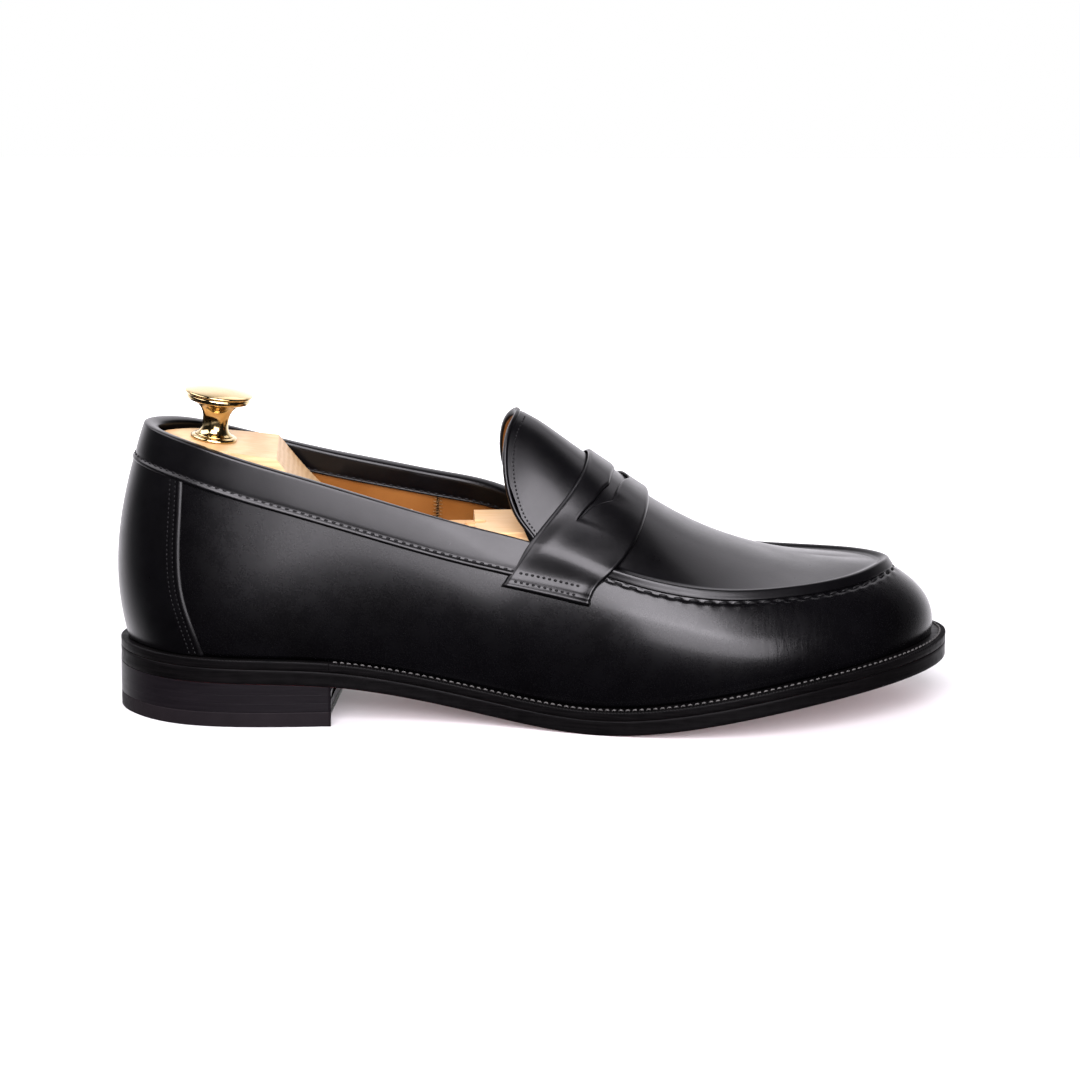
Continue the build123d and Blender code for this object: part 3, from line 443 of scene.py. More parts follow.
# ---------------------------------------------------------------- materials
class Look:
    """A procedural material, built up on the object's own coordinates in metres."""

    def __init__(self, name, **sockets):
        self.material = bpy.data.materials.new(name)
        self.material.use_nodes = True
        self.nodes = self.material.node_tree.nodes
        self.links = self.material.node_tree.links
        self.shader = self.nodes["Principled BSDF"]
        self.coordinates = self.nodes.new("ShaderNodeTexCoord").outputs["Object"]
        for socket, value in sockets.items():
            self.shader.inputs[socket.replace("_", " ")].default_value = value

    def node(self, kind, inputs, output=0, **settings):
        """A new node's output: its inputs are values, or the outputs of other nodes."""
        made = self.nodes.new("ShaderNode" + kind)
        for key, value in settings.items():
            setattr(made, key, value)
        for key, value in inputs.items():
            if isinstance(value, bpy.types.NodeSocket):
                self.links.new(value, made.inputs[key])
            else:
                made.inputs[key].default_value = value
        return made.outputs[output]

    def stretched(self, scale):
        return self.node("Mapping", {"Vector": self.coordinates, "Scale": scale})

    def noise(self, scale, detail, stretch=(1, 1, 1), distortion=0.0):
        inputs = {"Vector": self.stretched(stretch), "Scale": scale, "Detail": detail,
                  "Distortion": distortion}
        return self.node("TexNoise", inputs)

    def cells(self, scale):
        return self.node("TexVoronoi", {"Vector": self.stretched((1, 1, 1)), "Scale": scale})

    def math(self, operation, a, b=0.0):
        return self.node("Math", {0: a, 1: b}, operation=operation)

    def axis(self, vector, index):
        return self.node("SeparateXYZ", {0: vector}, index)

    def spread(self, value, low, high, to_low, to_high):
        inputs = {"Value": value, "From Min": low, "From Max": high, "To Min": to_low, "To Max": to_high}
        return self.node("MapRange", inputs)

    def ramp(self, value, *stops):
        made = self.nodes.new("ShaderNodeValToRGB")
        self.links.new(value, made.inputs[0])
        for element, (place, colour) in zip(made.color_ramp.elements, stops):
            element.position = place
            element.color = (*colour, 1)
        return made.outputs[0]

    def mix(self, factor, a, b):
        """Colour b over colour or socket a."""
        b = b if isinstance(b, bpy.types.NodeSocket) else (*b, 1)
        return self.node("Mix", {0: factor, 6: a, 7: b}, 2, data_type="RGBA")

    def colour(self, value):
        self.links.new(value, self.shader.inputs["Base Color"])

    def roughness(self, value, low, high):
        self.links.new(self.spread(value, .3, .7, low, high), self.shader.inputs["Roughness"])

    def relief(self, *layers):
        """Bumps from (height, depth in millimetres) pairs, the coarsest first."""
        below = {}
        for height, depth in layers:
            normal = self.node("Bump", {"Height": height, "Distance": depth * MM, "Strength": 1.0, **below})
            below = {"Normal": normal}
        self.links.new(normal, self.shader.inputs["Normal"])


CREASE_X = .092        # the ball of the foot, where the leather creases, in metres


def black_leather(name, low, high, creased=False):
    """Polished calf, with a roughness from low to high."""
    look = Look(name, Specular_IOR_Level=.26, Coat_Weight=.06, Coat_Roughness=.12)
    mottle = look.noise(42, 5)
    grain = look.cells(1500)
    fine = look.noise(900, 5)
    cloud = look.noise(160, 6)
    look.colour(look.ramp(mottle, (.3, (.0005, .0004, .0006)), (.7, (.0012, .0011, .0015))))
    blend = look.math("ADD", look.math("MULTIPLY", cloud, .6), look.math("MULTIPLY", fine, .4))
    look.roughness(blend, low, high)
    layers = [(look.noise(26, 2), .08), (fine, .011), (grain, .006)]
    if creased:
        waves = look.noise(520, 3, (1, .3, .18), .8)
        away = look.math("ABSOLUTE", look.math("SUBTRACT", look.axis(look.coordinates, 0), CREASE_X))
        mask = look.spread(away, .006, .026, 1, 0)
        layers.insert(1, (look.math("MULTIPLY", waves, mask), .075))
    look.relief(*layers)
    return look.material


def thread(name, dark, light, shine=.3):
    look = Look(name, Specular_IOR_Level=shine)
    strands = look.noise(2600, 2, (1, .3, 1))
    look.colour(look.ramp(strands, (.35, dark), (.7, light)))
    look.roughness(strands, .42, .6)
    look.relief((strands, .05))
    return look.material


def stacked_leather(name, dark, light):
    """A waxed edge of pressed layers, with faint lines along it."""
    look = Look(name, Specular_IOR_Level=.12)
    lines = look.noise(60, 3, (1, 1, 34))
    pores = look.noise(520, 4)
    look.colour(look.ramp(lines, (.36, dark), (.66, light)))
    look.roughness(look.math("MULTIPLY", look.math("ADD", lines, pores), .5), .36, .46)
    look.relief((lines, .005), (pores, .02))
    return look.material


def sole_leather(name):
    """Black waxed edge above, oxblood-stained grain below."""
    look = Look(name, Specular_IOR_Level=.05)
    lines = look.noise(60, 3, (1, 1, 34))
    fibres = look.noise(240, 5, (1, 1.6, 1))
    edge = look.ramp(lines, (.36, (.0012, .0011, .0012)), (.68, (.0028, .0024, .0026)))
    under = look.ramp(fibres, (.3, (.150, .009, .017)), (.7, (.230, .017, .028)))
    down = look.axis(look.node("NewGeometry", {}, "True Normal"), 2)
    look.colour(look.mix(look.spread(down, -.93, -.85, 1, 0), edge, under))
    look.roughness(fibres, .33, .50)
    look.relief((lines, .02), (fibres, .03))
    return look.material


def tan_leather(name, dark, light):
    look = Look(name, Specular_IOR_Level=.22)
    cloud = look.noise(38, 6)
    grain = look.cells(1300)
    look.colour(look.ramp(cloud, (.3, dark), (.72, light)))
    look.roughness(cloud, .46, .62)
    look.relief((look.noise(300, 4), .03), (grain, .02))
    return look.material


def pale_wood(name):
    """Beech: faint growth rings, warm clouds and short dark flecks along the grain."""
    look = Look(name, Specular_IOR_Level=.38)
    inputs = {"Vector": look.stretched((.35, 1, 2.6)), "Scale": 62, "Distortion": 3.2, "Detail": 3,
              "Detail Scale": 1.4}
    rings = look.node("TexWave", inputs, "Fac", bands_direction="Z")
    flecks = look.noise(900, 3, (.08, 1, 1))
    cloud = look.noise(22, 4, (.4, 1, 1))
    pale = look.ramp(rings, (.15, (.61, .405, .205)), (.85, (.51, .305, .138)))
    warm = look.mix(look.spread(cloud, .4, .68, 0, .55), pale, (.64, .455, .245))
    look.colour(look.mix(look.spread(flecks, .56, .74, 0, .5), warm, (.50, .29, .14)))
    look.roughness(flecks, .40, .54)
    look.relief((rings, .03), (flecks, .03))
    return look.material


def metal(name, dark, light, low, high):
    look = Look(name, Metallic=1.0)
    cloud = look.noise(70, 4)
    rubs = look.noise(700, 3, (1, 1, .15))
    look.colour(look.ramp(cloud, (.3, dark), (.7, light)))
    look.roughness(rubs, low, high)
    look.relief((rubs, .004))
    return look.material


def rubber(name):
    look = Look(name, Specular_IOR_Level=.08)
    pits = look.noise(650, 5)
    look.colour(look.ramp(look.noise(50, 4), (.3, (.0045, .0034, .0042)), (.7, (.0080, .0060, .0072))))
    look.roughness(pits, .55, .70)
    look.relief((pits, .04))
    return look.material


def grainy(name, dark, light, scale, depth):
    """Cork, leatherboard and other hidden fillers."""
    look = Look(name, Specular_IOR_Level=.2)
    lumps = look.cells(scale)
    look.colour(look.ramp(lumps, (.1, dark), (.6, light)))
    look.roughness(lumps, .7, .9)
    look.relief((lumps, depth))
    return look.material


CALF = black_leather("black_calf", .27, .35)
WALL_CALF = black_leather("black_calf_wall", .235, .31, creased=True)
BLACK_THREAD = thread("black_thread", (.0016, .0016, .0018), (.0065, .0062, .0070), .16)
WELT_THREAD = thread("grey_thread", (.028, .027, .026), (.088, .084, .080))
TAN_THREAD = thread("tan_thread", (.24, .12, .045), (.42, .24, .10))
SOLE = sole_leather("sole_leather")
HEEL = stacked_leather("heel_leather", (.0036, .0028, .0037), (.0050, .0039, .0050))
RUBBER = rubber("heel_rubber")
BRASS = metal("brass", (.50, .365, .165), (.60, .46, .25), .09, .17)
STEEL = metal("steel", (.45, .45, .46), (.62, .62, .63), .25, .42)
LINING_TAN = tan_leather("lining_leather", (.150, .050, .007), (.235, .090, .017))
INSOLE_TAN = tan_leather("insole_leather", (.34, .17, .07), (.47, .27, .13))
BEECH = pale_wood("beech")
CORK = grainy("cork", (.16, .085, .035), (.42, .26, .13), 420, .5)
BOARD = grainy("stiffener", (.26, .19, .12), (.45, .36, .25), 700, .1)

# CAD nodes that keep their own meshes.
KEPT_NODES = {
    "insole": INSOLE_TAN, "insole_rib": INSOLE_TAN, "sock_lining": LINING_TAN, "cork_filler": CORK,
    "shank": STEEL, "heel_nails": STEEL, "top_lift_nails": BRASS, "heel_counter": BOARD, "toe_puff": BOARD,
    "tree_heel_block": BEECH, "tree_forepart": BEECH, "tree_knob_screw": STEEL, "tree_hinge_pin": STEEL,
    "tree_hinge_plate": STEEL, "tree_plate_rivets": BRASS}


def dress_kept_nodes():
    for node, material in KEPT_NODES.items():
        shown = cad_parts[node]
        shown.data.materials.clear()
        shown.data.materials.append(material)
    for node in ("tree_heel_block", "tree_forepart"):
        soft_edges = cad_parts[node].modifiers.new("soft_edges", "BEVEL")
        soft_edges.width = .9 * MM
        soft_edges.segments = 3
        soft_edges.limit_method = "ANGLE"
        soft_edges.angle_limit = math.radians(35)
        soft_edges.harden_normals = True


# ---------------------------------------------------------------- sole, welt and heel
# The outsole's edge: distance inside its outline, and height above the tread.
SOLE_PROFILE = [
    (1.6, 0), (.4, 0), (.12, .1), (0, .35), (.03, 1.6), (.10, 2.8), (.03, 4.2), (0, 4.95), (.14, 5.26),
    (.5, OUTSOLE - GLUE), (1.6, OUTSOLE - GLUE)]
# The welt's section: distance inside the sole's edge, height above the outsole, share of the ribs.
WELT_PROFILE = [
    (9.2, 0, 0), (5, 0, 0), (1, 0, 0), (.25, .04, 0), (.02, .3, 0), (.1, 1.3, 0), (.02, 2.2, .2),
    (0, 2.8, .5), (.12, 3.1, .8), (.45, 3.3, 1), (1.0, 3.36, 1), (1.7, 3.38, 1), (2.4, 3.36, .7),
    (2.9, 3.16, 0), (3.4, 3.24, 0), (5.2, 3.3, 0), (9.2, 3.4, 0)]
WELT_PITCH = 2.45      # one stitch, and two ribs
RIB_DEPTH = .34
WELT_SEAM = 2.15       # the seam's distance inside the sole's edge
BREAST_HALF = 31.0     # half the sole's width at the heel's breast
# Lateral and medial end of the heel's breast, and how far it curves back between them.
BREAST_ENDS = ((BREAST_X - .4, -31.7), (BREAST_X + 6.4, 31))
BREAST_HOLLOW = 2.6


def sole_ring(angles, inside, height):
    """Points inside the sole's edge at a height above the tread."""
    distance = edge_reach(angles) - inside
    foot = spine(angles)
    a = np.radians(angles)
    x = foot[0] + distance * np.cos(a)
    return np.stack([x, foot[1] + distance * np.sin(a), tread_at(x) + height], -1)


def even_angles(low, high, spacing, path):
    """Angles at which a path round the shoe has evenly spaced points."""
    fine = np.linspace(low, high, 4001)
    length = run(path(fine))
    return np.interp(np.linspace(0, length[-1], int(length[-1] / spacing) + 1), length, fine)


def make_outsole():
    angles = even_angles(0, 360, 1.0, lambda a: sole_ring(a, 0, 0))[:-1]
    full = edge_reach(angles)[:, None]
    inside, height = np.array(SOLE_PROFILE).T
    share = np.linspace(1, 0, 12)[:-1]
    low = sole_ring(angles[:, None], full * share + inside[0] * (1 - share), 0 * share)
    side = sole_ring(angles[:, None], inside + 0 * full, height)
    high = low[:, ::-1] + (0, 0, OUTSOLE - GLUE)
    points = np.concatenate([low, side, high], 1)
    faces = net_faces(len(angles), points.shape[1], True)
    add_piece("outsole_shape", points, faces, SOLE, nodes=["outsole"])


def welt_strip(name, low, high, node, depth):
    """A stretch of the welt: rounded edge, and a top pressed into ribs by the fudge wheel."""
    angles = even_angles(low, high, WELT_PITCH / 8, lambda a: sole_ring(a, 1, WELT_TOP))
    place = run(sole_ring(angles, 1, WELT_TOP))[:, None]
    ribs = depth * (.5 + .5 * np.cos(place * 4 * math.pi / WELT_PITCH)) ** .6
    inside, height, cut = np.array(WELT_PROFILE).T
    points = sole_ring(angles[:, None], inside + 0 * place, OUTSOLE + height - cut * ribs)
    add_piece(name, points, tube_faces(len(angles), len(inside)), SOLE, nodes=[node])


def make_welt():
    lateral, medial = [reach(BREAST_X, side * BREAST_HALF + AXIS_Y)[0] for side, _ in SIDES]
    welt_strip("welt_ribbed", lateral, medial, "welt", RIB_DEPTH)
    welt_strip("heel_rand_ring", medial, lateral + 360, "heel_rand", .35 * RIB_DEPTH)
    angles = even_angles(lateral, medial, 1, lambda a: sole_ring(a, 1.9, WELT_TOP))
    path = sole_ring(angles, WELT_SEAM, WELT_TOP - .12)
    stitches("welt_stitching", path, path * 0 + (0, 0, 1), WELT_PITCH, 1.75, .36, WELT_THREAD,
             "sole_leather", .5)


def heel_plan():
    """The heel's outline from above: round the back, then across its hollow breast."""
    lateral, medial = [reach(*end)[0] for end in BREAST_ENDS]
    edge = sole_ring(even_angles(medial, lateral + 360, 1.5, lambda a: sole_ring(a, 0, 0)), 0, 0)[:, :2]
    share = np.linspace(0, 1, 24)[1:-1, None]
    hollow = np.array([BREAST_HOLLOW, 0]) * 4 * share * (1 - share)
    breast = edge[-1] + (edge[0] - edge[-1]) * share - hollow
    return np.concatenate([edge, breast])


def slab(name, plan, bottom, top, round_off, material, node):
    """A heel layer over a plan, with rounded edges: its top is one height, or one for each point."""
    way = np.roll(plan, -1, 0) - np.roll(plan, 1, 0)
    out = unit(np.stack([way[:, 1], -way[:, 0]], -1))
    small = round_off * .3
    rows = [(-3, 0, 0), (-round_off, 0, 0), (-small, 0, small), (0, 0, round_off), (0, 0, round_off + .1),
            (0, 1, -round_off - .1), (0, 1, -round_off), (-small, 1, -small), (-round_off, 1, 0), (-3, 1, 0)]
    grid = []
    for move, share, rise in rows:
        height = bottom + (top - bottom) * share + rise
        grid.append(np.column_stack([plan + out * move, height + 0 * plan[:, 0]]))
    points = np.stack(grid, 1)
    add_piece(name, points, wall_faces(len(plan), len(rows)), material, nodes=[node])


def make_heel():
    plan = heel_plan()
    slab("top_lift_rubber", plan, 0, TOP_LIFT, .4, RUBBER, "top_lift")
    for number in (1, 2, 3):
        bottom = TOP_LIFT + GLUE + (number - 1) * (LIFT + GLUE)
        top = tread_at(plan[:, 0]) - GLUE if number == 3 else bottom + LIFT + .8 * GLUE
        slab(f"lift_{number}", plan, bottom, top, .03, HEEL, f"heel_lift_{number}")


# ---------------------------------------------------------------- vamp, apron and tongue
STRAP_ANGLE = 81.0     # where the strap's front edge crosses the apron's seam
SEAM_BELOW = 3.65      # the seam's distance below the rim
FAN = 80.0             # angle behind which the crown's columns spread out to the tongue's edge
EDGE_ROLL = .95        # radius of the tongue's binding
# The apron's edge across the seam: distance along from the rim and height off the leather.
LAP = [
    (-2.75, .05), (-2.95, .25), (-2.9, .55), (-2.6, .78), (-2.0, .98), (-1.4, 1.26), (-.85, 1.60),
    (-.3, 1.84), (.3, 1.80), (.85, 1.40), (1.35, .82), (1.85, .34), (2.5, .08), (3.2, 0)]
LAP_UNDER = [(-1.5, .06), (0, -.25), (1.5, -.9)]


def ahead_of_strap(angle):
    """1 ahead of the strap, 0 under it."""
    return 1 - ease(turn(angle), STRAP_ANGLE, STRAP_ANGLE + 5)


def seam_place(angles):
    """Distance along the apron's seam from its middle at the toe."""
    fine = np.linspace(-110, 110, 4401)
    length = run(upper(fine, 1 + 0 * fine))
    middle = np.interp(0, fine, length)
    return np.interp((np.asarray(angles) + 180) % 360 - 180, fine, length) - middle


def make_vamp():
    angles = np.concatenate([np.arange(-82, 82, .3), np.arange(82, 278, .8)])
    full = angles[:, None]
    ahead = ahead_of_strap(full)
    top = w_of(angles, -.9 - 1.0 * (1 - ahead))
    share = 1 - (1 - np.linspace(0, 1, 58)) ** 1.5
    w = np.concatenate([top * share, (top * np.linspace(0, 1, 14))[:, ::-1]], 1)
    table = np.linspace(-14, 2, 60)
    along = np.array([np.interp(row, ws, table) for row, ws in zip(w, w_of(angles, table))])
    phase = np.cos(2 * math.pi * seam_place(full) / APRON_STITCH[0])
    groove = -.42 * bump(along, -3.7, 1.4) * (.75 + .25 * phase) - .06 * bump(along, -4.2, 3.2) * phase
    lift = np.where(np.arange(w.shape[1]) < len(share), groove * ahead, -UPPER)
    add_piece("vamp_skin", upper(full, w, lift), net_faces(len(angles), w.shape[1], True, True), WALL_CALF,
              nodes=["vamp"])
    dashes = even_angles(-STRAP_ANGLE - 1, STRAP_ANGLE + 1, .8, lambda a: strip(a, [-3.6], 0)[:, 0])
    path, out = line_path(dashes, w_of(dashes, [-SEAM_BELOW])[:, 0], -.28)
    black_stitches("apron_stitching", path, out, APRON_STITCH)


def tongue_limits(side):
    """Angle of the tongue's free edge against w, on one side."""
    edge = seen_from_side(side, through(TONGUE_EDGE, 40))
    order = np.argsort(edge[:, 1])
    return edge[order, 1], edge[order, 0]


def make_crown(name, outer, inner, material, node, lap=False):
    """Leather over the foot from the seam to the middle line and back to the tongue's edge."""
    ahead = np.arange(0, FAN, .5)
    behind = 1 - (1 - np.linspace(0, 1, 60)) ** 1.3
    place = np.concatenate([ahead, FAN + 0 * behind])[:, None]
    share_behind = np.concatenate([0 * ahead, behind])[:, None]
    halves = []
    for side, _ in SIDES:
        limits = tongue_limits(side)
        ends = side * (place + share_behind * (abs(np.interp(1.07, *limits)) - FAN))[:, 0]
        first = w_of(ends, [3.5 if lap else 6.0])
        w = first + (2 - first) * np.linspace(0, 1, 48)
        limit = np.abs(np.interp(w, *limits))
        halves.append((side * (place + share_behind * (limit - FAN)), w))
    angle, w = [mirrored(medial[::-1], lateral[::-1])[::-1] for lateral, medial in zip(*halves)]
    out, back = upper(angle, w, outer), upper(angle, w, inner)
    if lap:
        ends = angle[:, 0]
        ahead = ahead_of_strap(ends)[:, None]
        narrowed = .3 + .7 * ahead
        along, lift = np.array(LAP).T
        edge = upper(ends[:, None], w_of(ends, along * narrowed), lift * ahead)
        along, lift = np.array(LAP_UNDER).T
        under = upper(ends[:, None], w_of(ends, along * narrowed), lift * ahead - UPPER * (1 - ahead))
        out = np.concatenate([edge, out], 1)
        back = np.concatenate([under, back], 1)
    loop = np.concatenate([out, back[:, ::-1]], 1)
    add_piece(name, loop, tube_faces(*loop.shape[:2]), material, nodes=[node])


def make_tongue_edge():
    """Binding rolled over the tongue's free edge, and its row of stitches."""
    halves = [seen_from_side(side, through(TONGUE_EDGE, 90)) for side, _ in SIDES]
    line = np.concatenate([halves[0], halves[1][::-1]])
    path = upper(line[:, 0], line[:, 1], -.6)
    normal = upper(line[:, 0], line[:, 1], 1) - upper(line[:, 0], line[:, 1], 0)
    place = run(path)
    at = np.linspace(0, place[-1], int(place[-1] / .7) + 1)
    centre = along_line(at, place, path)
    out = unit(along_line(at, place, normal))
    side = unit(np.cross(unit(np.gradient(centre, axis=0)), out))
    a = np.linspace(0, 2 * math.pi, 17)[:-1, None]
    around = side[:, None] * np.cos(a) * EDGE_ROLL + out[:, None] * np.sin(a) * (EDGE_ROLL + .35)
    add_piece("tongue_binding", centre[:, None] + around, tube_faces(len(centre), len(a)), CALF)
    for half, (side, name) in zip(halves, SIDES):
        angle, w = half.T
        step = upper(angle - side, w) - upper(angle, w)
        angle = angle - side * 3.1 / np.linalg.norm(step, axis=-1)
        keep = w < 1.93
        path, out = line_path(angle[keep], w[keep], .02)
        black_stitches(f"tongue_stitching_{name}", path, out, TONGUE_STITCH)


# ---------------------------------------------------------------- linings, collar and counter cover
# Node, first and last angle, and distance of the top edge below the rim, of each lining.
LININGS = (("quarter_lining", 106, 254, 1.1), ("vamp_lining", -105.5, 105.5, 4.6))
LINING_SEAM = 105.75   # angle of the zigzag where the two meet
# The collar's outer leg: distance along from the rim, and height off the leather where its lower edge
# is rolled and where it is flat.
COLLAR_PROFILE = [
    (-13.0, .1, .1), (-13.25, .55, .35), (-13.1, 1.05, .7), (-12.7, 1.42, .9), (-12.2, 1.52, 1.0),
    (-11.75, 1.36, 1.0), (-11.35, .98, .98), (-10.9, .78, .78), (-10.2, .93, .93), (-9, 1.0, 1.0),
    (-7.5, 1.03, 1.03), (-6, 1.05, 1.05), (-4.5, 1.05, 1.05), (-3, 1.04, 1.04), (-1.8, 1.03, 1.03),
    (-.8, 1.0, 1.0), (-.1, .98, .98)]
COLLAR_FACE = COLLAR_PROFILE[-1][1]
# Its inner leg: distance along from the rim, and how far the leather bulges inwards.
FACING_PROFILE = [
    (-.3, 0), (-1.2, 0), (-2.5, 0), (-4, 0), (-5.5, 0), (-6.8, -.02), (-7.5, -.16), (-7.9, .06),
    (-8.25, .18), (-8.5, .12), (-8.55, -.35)]
# The counter cover's folded edge: distance from the edge, and height off the leather.
COVER_PROFILE = [
    (0, .25), (.10, .58), (.3, .84), (.7, 1.04), (1.2, 1.06), (1.7, .90), (2.2, .78), (2.7, .84),
    (3.2, .94), (4.4, .98), (5.2, 1.0), (6.5, 1.0)]


def make_linings():
    for node, first, last, top in LININGS:
        angles = np.linspace(first, last, int((last - first) / .8))
        full = angles[:, None]
        w = w_of(angles, [-top]) * np.linspace(.05, 1, 30)
        depth = lining_depth(full)
        sheet_piece(f"{node}_skin", upper(full, w, -depth), upper(full, w, -depth - LINING), LINING_TAN,
                    node)


def make_lining_seam(side, name):
    """Zigzag thread where the two linings meet, on the side that shows."""
    count = 60
    angles = LINING_SEAM * side + .75 * np.where(np.arange(count) % 2, 1, -1)
    path, out = line_path(angles, np.linspace(.25, .88, count), -lining_depth(angles) - LINING)
    curve = bpy.data.curves.new(name, "CURVE")
    curve.dimensions = "3D"
    curve.bevel_depth = .22 * MM
    curve.bevel_resolution = 2
    line = curve.splines.new("POLY")
    line.points.add(count - 1)
    for point, at, way in zip(line.points, path, out):
        point.co = (*((at - .1 * way) * MM), 1)
    curve.materials.append(TAN_THREAD)
    piece = add_object(name, curve)
    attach(piece, "shoe")


def make_collar():
    """The band folded over the topline: rolled lower edge outside, a shallower facing inside."""
    first, last = reach(-5, 30 + AXIS_Y)[0], reach(-2, -28.9 + AXIS_Y)[0] + 360
    angles = np.arange(first, last, .5)
    full = angles[:, None]
    roll = 1 - .62 * (1 - ease(np.minimum(full - first, last - full), 0, 7))
    along, rolled, flat = np.array(COLLAR_PROFILE).T
    outside = strip(angles, along, flat + (rolled - flat) * roll)
    inner = lining_depth(full) + LINING + SLIP + BAND
    over = np.linspace(0, math.pi, 10)[1:-1]
    middle, half = (COLLAR_FACE - inner) / 2, (COLLAR_FACE + inner) / 2
    top = upper(full, w_of(angles, [-.1]), middle + half * np.cos(over))
    top[..., 2] += np.sin(over) ** .8 * 1.15
    along, bulge = np.array(FACING_PROFILE).T
    facing = upper(full, w_of(angles, along), -inner - bulge)
    back = upper(full, w_of(angles, np.array([-8.4, -5, -1.4])), -inner + BAND)
    under = strip(angles, np.array([-.9, -6, -12.9]), -SLIP + .15 + 0 * full)
    points = np.concatenate([outside, top, facing, back, under], 1)
    add_piece("collar", points, tube_faces(len(angles), points.shape[1]), CALF,
              nodes=["collar_band"])
    angles = angles[2:-2]
    path, out = line_path(angles, w_of(angles, [-11.05])[:, 0], .72)
    black_stitches("collar_stitching", path, out, COLLAR_STITCH)
    depth = lining_depth(angles) + LINING + SLIP + BAND
    path, out = line_path(angles, w_of(angles, [-7.35])[:, 0], .02 - depth)
    black_stitches("facing_stitching", path, -out, FACING_STITCH)


def make_counter_cover():
    """The cover round the heel: its front edges are folded, with two rows of stitches behind."""
    seams = {}
    for side, _ in SIDES:
        w, angle = seen_from_side(side, through(COVER_SEAM, 50))[:, ::-1].T
        order = np.argsort(w)
        seams[side] = w[order], turn(angle[order])
    rows = np.linspace(0, 1, 60)
    near = [0, .12, .3, .55, .85, 1.2, 1.6, 2.05, 2.5, 3, 3.6, 4.4, 5.4]
    share = (np.concatenate([near, np.linspace(6.8, 50, 26)]) / 50)[:, None]
    halves = []
    for side, _ in SIDES[::-1]:
        guess = np.interp(rows * .8, *seams[side])
        w = w_of(guess * side, [-COLLAR_DEPTH + 1.2])[:, 0] * rows
        limit = np.interp(w, *seams[side])
        angle = side * (limit + (180 - limit) * share)
        halves.append((angle % 360, w + 0 * angle))
    angle, w = [mirrored(medial, lateral) for medial, lateral in zip(*halves)]
    flat = upper(angle, w)
    edge = np.minimum(run(flat), run(flat[::-1])[::-1])
    lift = np.interp(edge, *np.array(COVER_PROFILE).T)
    points = np.concatenate([upper(angle, w, lift), upper(angle, w, SLIP)[:, ::-1]], 1)
    add_piece("counter_cover_skin", points, tube_faces(*points.shape[:2]), CALF,
              nodes=["counter_cover"])
    for side, name in SIDES:
        w = np.linspace(.01, .97, 150)
        limit = np.interp(w, *seams[side])
        step = np.linalg.norm(upper(side * (limit + 1), w) - upper(side * limit, w), axis=-1)
        for row, behind, height in ((1, 2.3, .86), (2, 4.5, .96)):
            angle = side * (limit + behind / step)
            keep = upper(angle, w)[:, 2] < upper(angle, 1)[:, 2] - COLLAR_DEPTH + .4
            path, out = line_path(angle[keep], w[keep], height)
            black_stitches(f"counter_stitching_{name}_{row}", path, out, COUNTER_STITCH)


# ---------------------------------------------------------------- strap
STRAP_LIFT = 2.4       # the strap's face above the wall and crown
STRAP_ROWS = np.concatenate([[0, .006, .013, .022, .033, .045, .058, .072], np.linspace(.088, 1, 84)])
# The slot across the strap, seen from above: x of its edges against minus the distance from its middle.
SLOT_MIDDLE = 2.5 + AXIS_Y
SLOT_TIP = -29.2
SLOT_BACK = [(SLOT_TIP, 13.4), (-23.7, 19.7), (-15.6, 25), (0, 27.8)]
SLOT_FRONT = [(SLOT_TIP, 13.6), (-26.1, 18.2), (-21.9, 25.9), (-11, 29.3), (0, 32.9)]
# Places of the strap's columns: distances from its edges, and shares of the way from the slot to them.
EDGE_COLUMNS = np.array([0, .12, .3, .6, .9, 1.2, 1.6, 2.1])
REAR_COLUMNS = np.array([.9, .75, .6, .45, .3, .2, .12, .06, .025, 0])
FORE_COLUMNS = np.array([0, .02, .05, .1, .18, .28, .4, .55, .7, .85])
# Height of the rear edge and of the front edge, against the distance from them.
SKIVED_EDGES = [
    (0, -1.3, -1.05), (.12, -1.05, -.62), (.3, -.82, -.34), (.6, -.50, -.10), (1.0, -.20, .04),
    (1.5, .03, .05), (2.2, .04, 0)]
# The same for the slot's lips: the one behind it and the one ahead of it.
SLOT_LIPS = [(0, -.7, -.6), (.12, -.3, -.25), (.35, -.06, -.05), (.7, .08, 0), (1.2, 0, 0)]
# How far the lip ahead of it is sunk near the slot's tip.
SLOT_DIP = [(0, .30), (2, .20), (6, .07), (12, 0)]
# The strap's foot, pressed down round its two rows of stitches: distance from its end, and height.
FOOT_PROFILE = [
    (0, -1.9), (.12, -1.2), (.35, -.6), (.8, -.22), (1.3, -.16), (1.9, -.46), (2.5, -.86), (3.0, -1.0),
    (3.6, -.78), (4.8, -.72), (5.8, -.92), (6.4, -1.08), (6.9, -1.06)]
FOOT_DEPTH = FOOT_PROFILE[-1][0]


def profile(distance, rows):
    """Each column of a table of rows, read at distances given by its first column."""
    places, *columns = np.array(rows).T
    return [np.interp(distance, places, column) for column in columns]


def strap_edge(side, points):
    """Angle and w of one edge of the strap on one side, up to the middle line."""
    fine = through(points, 120)
    below = fine[fine[:, 1] < ridge(np.clip(fine[:, 0], -20, 100)) + STRAP_LIFT - .3]
    found = seen_from_side(side, below[::3], STRAP_LIFT - .3)
    top = (side * math.degrees(math.acos(below[-1, 0] / SPINE)), 2)
    return np.concatenate([found[found[:, 1] < 1.97], [top]])


def strap_net(side, share):
    """Angle and w of the strap's rear and front edge, on rows from its foot to the middle line."""
    edges = []
    for points in (STRAP_BACK, STRAP_FRONT):
        edge = strap_edge(side, points)
        w = edge[0, 1] + (2 - edge[0, 1]) * share
        edges.append((np.interp(w, edge[:, 1], edge[:, 0]), w))
    return edges


